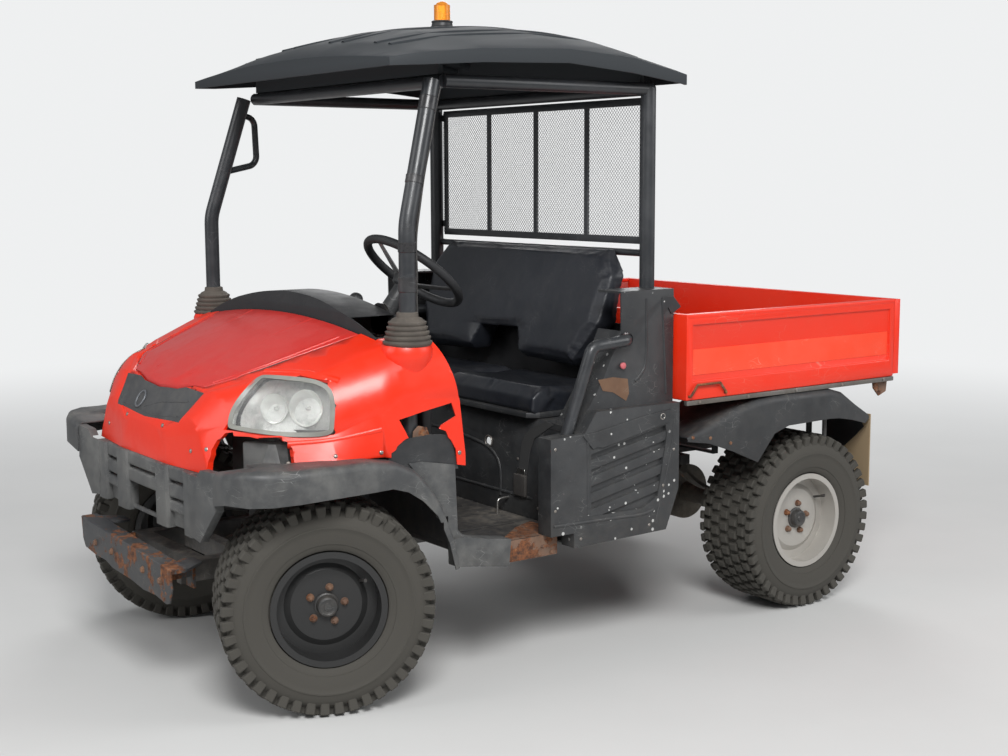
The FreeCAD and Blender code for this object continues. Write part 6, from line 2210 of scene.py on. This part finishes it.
@dataclass
class SidePanelTrim:
    """The ledge over the louvres, the edge beads, the screws and the torn flap."""

    face: float = 0.735
    ledge: tuple[Place, ...] = (
        (0.176, 0.724), (0.136, 0.676), (0.116, 0.680), (0.098, 0.676), (0.055, 0.684), (-0.180, 0.730),
        (-0.186, 0.771), (-0.054, 0.757), (0.120, 0.728),
    )
    # bead: name, radius, how deep it sinks, X and Z of its points
    beads: tuple[tuple[str, float, float, tuple[Place, ...]], ...] = (
        ("rear", 0.006, 0.5, ((-0.205, 0.745), (-0.200, 0.66), (-0.172, 0.55), (-0.142, 0.46), (-0.128, 0.405))),
        ("low", 0.006, 0.5, ((0.285, 0.452), (0.146, 0.449), (0.02, 0.446), (-0.082, 0.440), (-0.118, 0.452))),
        ("column", 0.006, 0.5, ((0.152, 0.712), (0.152, 0.60), (0.150, 0.47))),
        (
            "upper", 0.0055, 0.4,
            ((-0.116, 1.125), (-0.118, 1.015), (-0.117, 0.915), (-0.098, 0.886), (-0.072, 0.866)),
        ),
        ("post", 0.0055, 0.4, ((-0.183, 1.125), (-0.196, 0.971), (-0.204, 0.815))),
    )
    flap: tuple[Place, ...] = (
        (-0.185, 1.128), (-0.229, 1.128), (-0.262, 1.092), (-0.222, 1.070), (-0.207, 1.092), (-0.185, 1.066),
    )
    screws: tuple[Place, ...] = (
        (-0.202, 0.639), (-0.158, 0.526), (0.280, 0.69), (0.280, 0.50), (-0.10, 0.405), (0.18, 0.40),
    )
    patch: tuple[Place, ...] = (
        (0.080, 0.882), (0.062, 0.846), (0.020, 0.838), (-0.034, 0.806), (-0.046, 0.830), (-0.040, 0.876),
        (0.020, 0.886),
    )

    def build(self) -> list[Piece]:
        """Fits the trim of both side panels.

        Returns:
            The finished pieces.
        """
        ledge = plate("ledge", self.ledge, 0.005, Plane.SIDE, self.face + 0.0022, 0.0016)
        panel = "side_panel_left"
        beads = [
            ridge(f"bead_{name}", panel, [(x, 1.0, z) for x, z in points], RIGHTWARD, radius, sink)
            for name, radius, sink, points in self.beads
        ]
        torn = plate("torn_flap", self.flap, 0.0028, Plane.SIDE, 0.6955, 0.0008)
        aims = [(panel, (x, 1.0, z), RIGHTWARD) for x, z in self.screws]
        hole = eyelet("panel_ring", (-0.150, self.face + 0.004, 0.751), (0, 1, 0), 0.009, 0.002)
        knob_at, knob_way = landed(panel, (-0.014, 1.0, 0.920), RIGHTWARD)
        knob = smoothed(turned(
            "knob",
            ((-0.001, 0.006), (0.003, 0.006), (0.005, 0.010), (0.011, 0.0105), (0.014, 0.007), (0.0145, 0.001)),
            knob_at, knob_way, 20,
        ))
        patch = plate("worn_patch", self.patch, 0.0011, Plane.SIDE, 0.6944, 0.0003)
        trim = joined([ledge, *beads, torn], "panel_trim")
        return [
            fit(both(trim, "panel_trim"), PANEL_BLACK),
            fit(both(screws("panel_screws", aims, 0.005), "panel_screws"), SCREW_STEEL),
            fit(both(hole, "panel_rings"), SCREW_STEEL), fit(knob, PINK_KNOB), fit(patch, CARDBOARD),
        ]


@dataclass
class FenderTrim:
    """Rivets on the rear fenders, the rods that hold the mud flaps, and a black plate on each flap that paints the
    fender's shadow on it.
    """

    # rivet: X and Z on the fender's side
    rivets: tuple[Place, ...] = ((-0.300, 0.664), (-0.370, 0.656), (-0.453, 0.632))
    # Y and Z of the black plate on each flap's upper part that paints the shadow under the fender
    opening: tuple[Place, ...] = (
        (0.488, 0.652), (0.649, 0.652), (0.682, 0.607), (0.640, 0.566), (0.588, 0.519), (0.522, 0.507),
        (0.488, 0.507),
    )

    def build(self) -> list[Piece]:
        """Fits the rivets, the rods and the painted shadow plates on the flaps.

        Returns:
            The finished pieces.
        """
        aims = [("rear_fenders", (x, 1.0, z), RIGHTWARD) for x, z in self.rivets]
        rivets = both(screws("fender_rivets", aims, 0.006), "fender_rivets")
        rods = both(rod("flap_rod", (-0.949, 0.700, 0.50), (-0.949, 0.700, 0.770), 0.008, 12), "flap_rods")
        bar = both(rod("flap_bar", (-1.1795, 0.500, 0.640), (-1.1795, 0.700, 0.640), 0.005, 12), "flap_bars")
        # painted shadow: a black plate just in front of each tan flap darkens its upper part where the fender
        # shades it
        shade = both(plate("flap_painted_shadow", self.opening, 0.0012, Plane.FRONT, -1.1806, 0.0004), "flap_painted_shadows")
        return [
            fit(shade, SOFT_BLACK), fit(rivets, RUSTY_NUT), fit(smoothed(rods), FRAME_BLACK),
            fit(smoothed(bar), FRAME_BLACK),
        ]


@dataclass
class BedTrim:
    """The bed's scraped lining and ribs, its sill strips, pale bands, top lips and corner brackets."""

    half: float = 0.745
    front: float = -0.245
    rear: float = -1.255
    low: float = 0.792
    top: float = 1.069
    band: tuple[float, float] = (0.872, 0.955)
    strip_bolts: tuple[float, ...] = (-0.30, -0.52, -0.75, -0.98, -1.20)
    # floor ribs: how many, the first one's Y, their pitch and half width; wall ribs likewise along X
    floor_ribs: tuple[int, float, float, float] = (9, -0.60, 0.15, 0.022)
    wall_ribs: tuple[int, float, float, float] = (4, -1.13, 0.25, 0.02)

    def lining(self) -> list[Piece]:
        """Lines the walls with scraped sheet and the floor with ribs.

        Returns:
            The finished pieces.
        """
        inner = self.half - 0.028
        rear, fore = self.rear + 0.002, self.front - 0.030
        low, high = self.low + 0.010, self.top - 0.012
        sheets = [
            box("lining_left", (rear, inner - 0.0014, low), (fore, inner - 0.0004, high)),
            box("lining_right", (rear, -inner + 0.0004, low), (fore, -inner + 0.0014, high)),
            box(
                "lining_front", (self.front - 0.0294, -inner + 0.002, low),
                (self.front - 0.0284, inner - 0.002, high),
            ),
        ]
        ribs = []
        count, first, pitch, half = self.floor_ribs
        for number in range(count):
            y = first + pitch * number
            rib = box("floor_rib", (self.rear + 0.03, y - half, 0.7995), (self.front - 0.06, y + half, 0.8045))
            ribs.append(bevelled(rib, 0.002, 2))
        posts = []
        count, first, pitch, half = self.wall_ribs
        for number in range(count):
            x = first + pitch * number
            for side in (1, -1):
                y0, y1 = sorted((side * (inner - 0.0002), side * (inner - 0.009)))
                rib = box("wall_rib", (x - half, y0, self.low + 0.02), (x + half, y1, self.top - 0.02))
                posts.append(bevelled(rib, 0.003, 2))
        return [
            fit(joined(sheets, "bed_lining"), BED_SCRAPED, body="cargo_bed"),
            fit(joined(ribs + posts, "bed_ribs"), BED_SCRAPED, body="cargo_bed"),
        ]

    def strips(self) -> list[Piece]:
        """Fits each side's grey sill strip with its bolts, its paler band and its top lip.

        Returns:
            The finished pieces.
        """
        strip = bevelled(
            box(
                "sill_strip", (self.rear, self.half - 0.012, self.low - 0.016),
                (self.front, self.half + 0.0035, self.low - 0.0005),
            ),
            0.002, 2,
        )
        bolts = [
            bolt("strip_bolt", (x, self.half + 0.0035, self.low - 0.008), LEFTWARD, 0.0045, 0.004)
            for x in self.strip_bolts
        ]
        (low, high), rear, fore = self.band, self.rear + 0.030, self.front - 0.028
        outline = ((rear, low), (fore, low), (fore, high), (rear, high))
        band = plate("side_band", outline, 0.0016, Plane.SIDE, self.half - 0.0074, 0.0005)
        lip = box(
            "top_lip", (self.rear, self.half - 0.034, self.top - 0.014),
            (self.front - 0.002, self.half + 0.001, self.top + 0.0005),
        )
        lip = bevelled(lip, 0.004, 3)
        return [
            fit(both(strip, "sill_strips"), DULL_STEEL, body="cargo_bed"),
            fit(both(joined(bolts, "strip_bolts"), "strip_bolts"), SCREW_STEEL, body="cargo_bed"),
            fit(both(band, "side_bands"), BED_BAND, body="cargo_bed"),
            fit(both(lip, "top_lips"), BED_ORANGE, body="cargo_bed"),
        ]

    def brackets(self) -> list[Piece]:
        """Fits the rusted corner brackets with their bolts.

        Returns:
            The finished pieces.
        """
        corner = plate(
            "corner_bracket", ((-1.250, 0.790), (-1.170, 0.790), (-1.176, 0.752), (-1.205, 0.722), (-1.243, 0.736)),
                       0.006, Plane.SIDE, 0.722)
        bolts = [
            bolt("bracket_bolt", (x, 0.725, z), (0, 1, 0), 0.006, 0.005)
            for x, z in ((-1.232, 0.772), (-1.190, 0.774), (-1.208, 0.745))
        ]
        return [
            fit(both(joined([corner, *bolts], "bed_brackets"), "bed_brackets"), RUSTED_PLATE, body="cargo_bed"),
        ]

    def build(self) -> list[Piece]:
        """Fits the bed's small pieces."""
        return [*self.lining(), *self.strips(), *self.brackets()]


@dataclass
class CabTrim:
    """The steering wheel, the dash's knobs, lid and gauge, the brake's boot and the floor's ribs."""

    centre: Place = (0.519, 0.324, 1.218)
    tilt: float = 51.0
    grip: float = 0.165
    dish: float = 0.044
    spokes: tuple[float, ...] = (0.0, 120.0, 240.0)
    # turned shapes: distance along the axis and radius of each ring
    boss: tuple[Place, ...] = (
        (-0.066, 0.028), (-0.058, 0.040), (-0.040, 0.043), (-0.030, 0.040), (-0.024, 0.030), (-0.022, 0.012),
    )
    knob: tuple[Place, ...] = (
        (-0.001, 0.013), (0.004, 0.013), (0.006, 0.010), (0.016, 0.009), (0.018, 0.006), (0.0185, 0.001),
    )
    gauge: tuple[Place, ...] = (
        (-0.004, 0.052), (0.006, 0.052), (0.010, 0.048), (0.008, 0.043), (0.003, 0.042), (0.003, 0.002),
    )
    brake_boot: tuple[Place, ...] = (
        (0.0, 0.030), (0.006, 0.030), (0.010, 0.024), (0.016, 0.027), (0.022, 0.021), (0.028, 0.023),
        (0.036, 0.0155),
        (0.044, 0.0135),
    )
    brake_grip: tuple[Place, ...] = (
        (0.0, 0.0135), (0.004, 0.0155), (0.030, 0.0165), (0.060, 0.0155), (0.066, 0.010), (0.068, 0.002),
    )
    # Y and Z of the dash's knobs, and Y of the floor's ribs
    knob_places: tuple[Place, ...] = ((-0.06, 0.94), (-0.11, 0.94), (-0.16, 0.94), (0.12, 0.93))
    rib_places: tuple[float, ...] = (-0.52, -0.40, -0.28, -0.16, -0.04, 0.08, 0.20, 0.50)

    def steering(self) -> list[Piece]:
        """Models the grip, the grey spokes and the boss of the steering wheel.

        Returns:
            The finished pieces.
        """
        tilt = math.radians(self.tilt)
        axis = Vector((-math.cos(tilt), 0, math.sin(tilt)))
        turn = Matrix((axis.cross(Vector((0, 1, 0))), Vector((0, 1, 0)), axis)).transposed().to_4x4()
        place = Matrix.Translation(Vector(self.centre)) @ turn
        deselect()
        bpy.ops.mesh.primitive_torus_add(
            major_radius=self.grip, minor_radius=0.0138, major_segments=72, minor_segments=16,
        )
        grip = bpy.context.object
        grip.matrix_world = place
        grip = smoothed(settle(grip, "steering_grip"))
        spokes = []
        for angle in self.spokes:
            spoke = box("spoke", (0.022, -0.016, -0.0025), (0.160, 0.016, 0.0025))
            pick(spoke, lambda middle, normal: normal.x > 0.9)
            bpy.ops.transform.translate(value=(0, 0, self.dish))
            bpy.ops.transform.resize(value=(1, 0.55, 1), center_override=(0.16, 0, 0))
            bpy.ops.object.mode_set(mode="OBJECT")
            spoke.data.transform(Matrix.Translation((0, 0, -self.dish)))
            spoke = bevelled(spoke, 0.0018, 2)
            spoke.data.transform(place @ Matrix.Rotation(math.radians(angle + 180.0), 4, "Z"))
            spokes.append(spoke)
        boss = turned("boss", self.boss, (0, 0, 0), UPWARD, 40)
        boss.data.transform(place)
        return [
            fit(grip, SOFT_BLACK, "steering_wheel", body="steering_wheel"),
            fit(joined(spokes, "steering_spokes"), SPOKE_GREY, body="steering_wheel"),
            fit(smoothed(boss), BLACK_MOULDED, body="steering_wheel"),
        ]

    def build(self) -> list[Piece]:
        """Fits the cab's small pieces.

        Returns:
            The finished pieces.
        """
        dash_at, _ = landed("dash_panel", (0.2, -0.10, 0.93), FORWARD)
        knobs = []
        for y, z in self.knob_places:
            place, normal = landed("dash_panel", (0.2, y, z), FORWARD)
            knobs.append(smoothed(turned("knob", self.knob, place, normal, 20)))
        gauge_at, gauge_way = landed("cowl", (0.4, 0.324, 1.075), FORWARD)
        gauge = smoothed(turned("gauge", self.gauge, gauge_at, gauge_way, 40))
        box_lid = plate(
            "dash_lid", ((-0.50, 0.80), (-0.18, 0.80), (-0.18, 0.90), (-0.50, 0.90)), 0.004, Plane.FRONT,
            dash_at.x - 0.0015, 0.0015,
        )
        ribs = []
        for y in self.rib_places:
            ribs.append(bevelled(
                box("floor_rib", (0.262, y - 0.008, 0.4195), (0.548, y + 0.008, 0.4235)), 0.0015, 2,
            ))
        boot = smoothed(turned("brake_boot", self.brake_boot, (0.060, 0.560, 0.7505), UPWARD, 28))
        grip = smoothed(turned("brake_grip", self.brake_grip, (0.018, 0.560, 0.857), (-0.664, 0, 0.747), 24))
        return [
            *self.steering(), fit(joined(knobs, "dash_knobs"), SOFT_RUBBER), fit(gauge, GAUGE_FACE),
            fit(box_lid, BLACK_MOULDED), fit(joined(ribs, "floor_ribs"), FRAME_BLACK),
            fit(joined([boot, grip], "brake_boot"), SOFT_RUBBER),
        ]


def swell(piece: Piece, pressure: float, cap: float, voxel: float = 0.006, steps: int = 20) -> Piece:
    """Inflates a pad with cloth simulation, then limits how far each point moved.

    Args:
        piece: The pad's plain shape.
        pressure: The air pressure inside the cloth.
        cap: The furthest that a point may move.
        voxel: The size of the remeshed faces.
        steps: How many frames the simulation runs.

    Returns:
        The same piece, with the result in its mesh.
    """
    activate(piece)
    remesh = piece.modifiers.new("remesh", "REMESH")
    remesh.mode = "VOXEL"
    remesh.voxel_size = voxel
    bpy.ops.object.modifier_apply(modifier=remesh.name)
    before = [vertex.co.copy() for vertex in piece.data.vertices]
    cloth = piece.modifiers.new("cloth", "CLOTH")
    cloth.settings.use_pressure = True
    cloth.settings.uniform_pressure_force = pressure
    cloth.settings.effector_weights.gravity = 0.0
    cloth.settings.quality = 5
    cloth.point_cache.frame_start = 1
    cloth.point_cache.frame_end = steps
    for number in range(1, steps + 1):
        bpy.context.scene.frame_set(number)
    bpy.ops.object.modifier_apply(modifier=cloth.name)
    for vertex, start in zip(piece.data.vertices, before):
        shift = vertex.co - start
        if shift.length > cap:
            vertex.co = start + shift * (cap / shift.length)
    bpy.context.scene.frame_set(1)
    smooth = piece.modifiers.new("smooth", "SMOOTH")
    smooth.factor = 0.5
    smooth.iterations = 4
    bpy.ops.object.modifier_apply(modifier=smooth.name)
    bpy.ops.object.shade_smooth()
    return piece


def main() -> None:
    """Builds the studio and the sub-assemblies in order."""
    logging.basicConfig(level=logging.INFO, format="%(message)s")
    Studio().build()
    LOG.info("%d packed nodes dressed", len(PackedNodes().build()))
    makers = (
        Panels(), Headlamps(), Fascia(), Bellows(), NoseTrim(), FrontWork(), RoofWork(), PostTrim(), Seats(),
        SeatBaseTrim(), SidePanels(), SidePanelTrim(),
        FenderTrim(), BedTrim(), CabTrim(), Tyres(), WheelCentres(), ScreenMesh(),
    )
    for maker in makers:
        pieces = maker.build()
        LOG.info("%s: %s", type(maker).__name__, ", ".join(piece.name for piece in pieces))


if __name__ == "__main__":
    main()
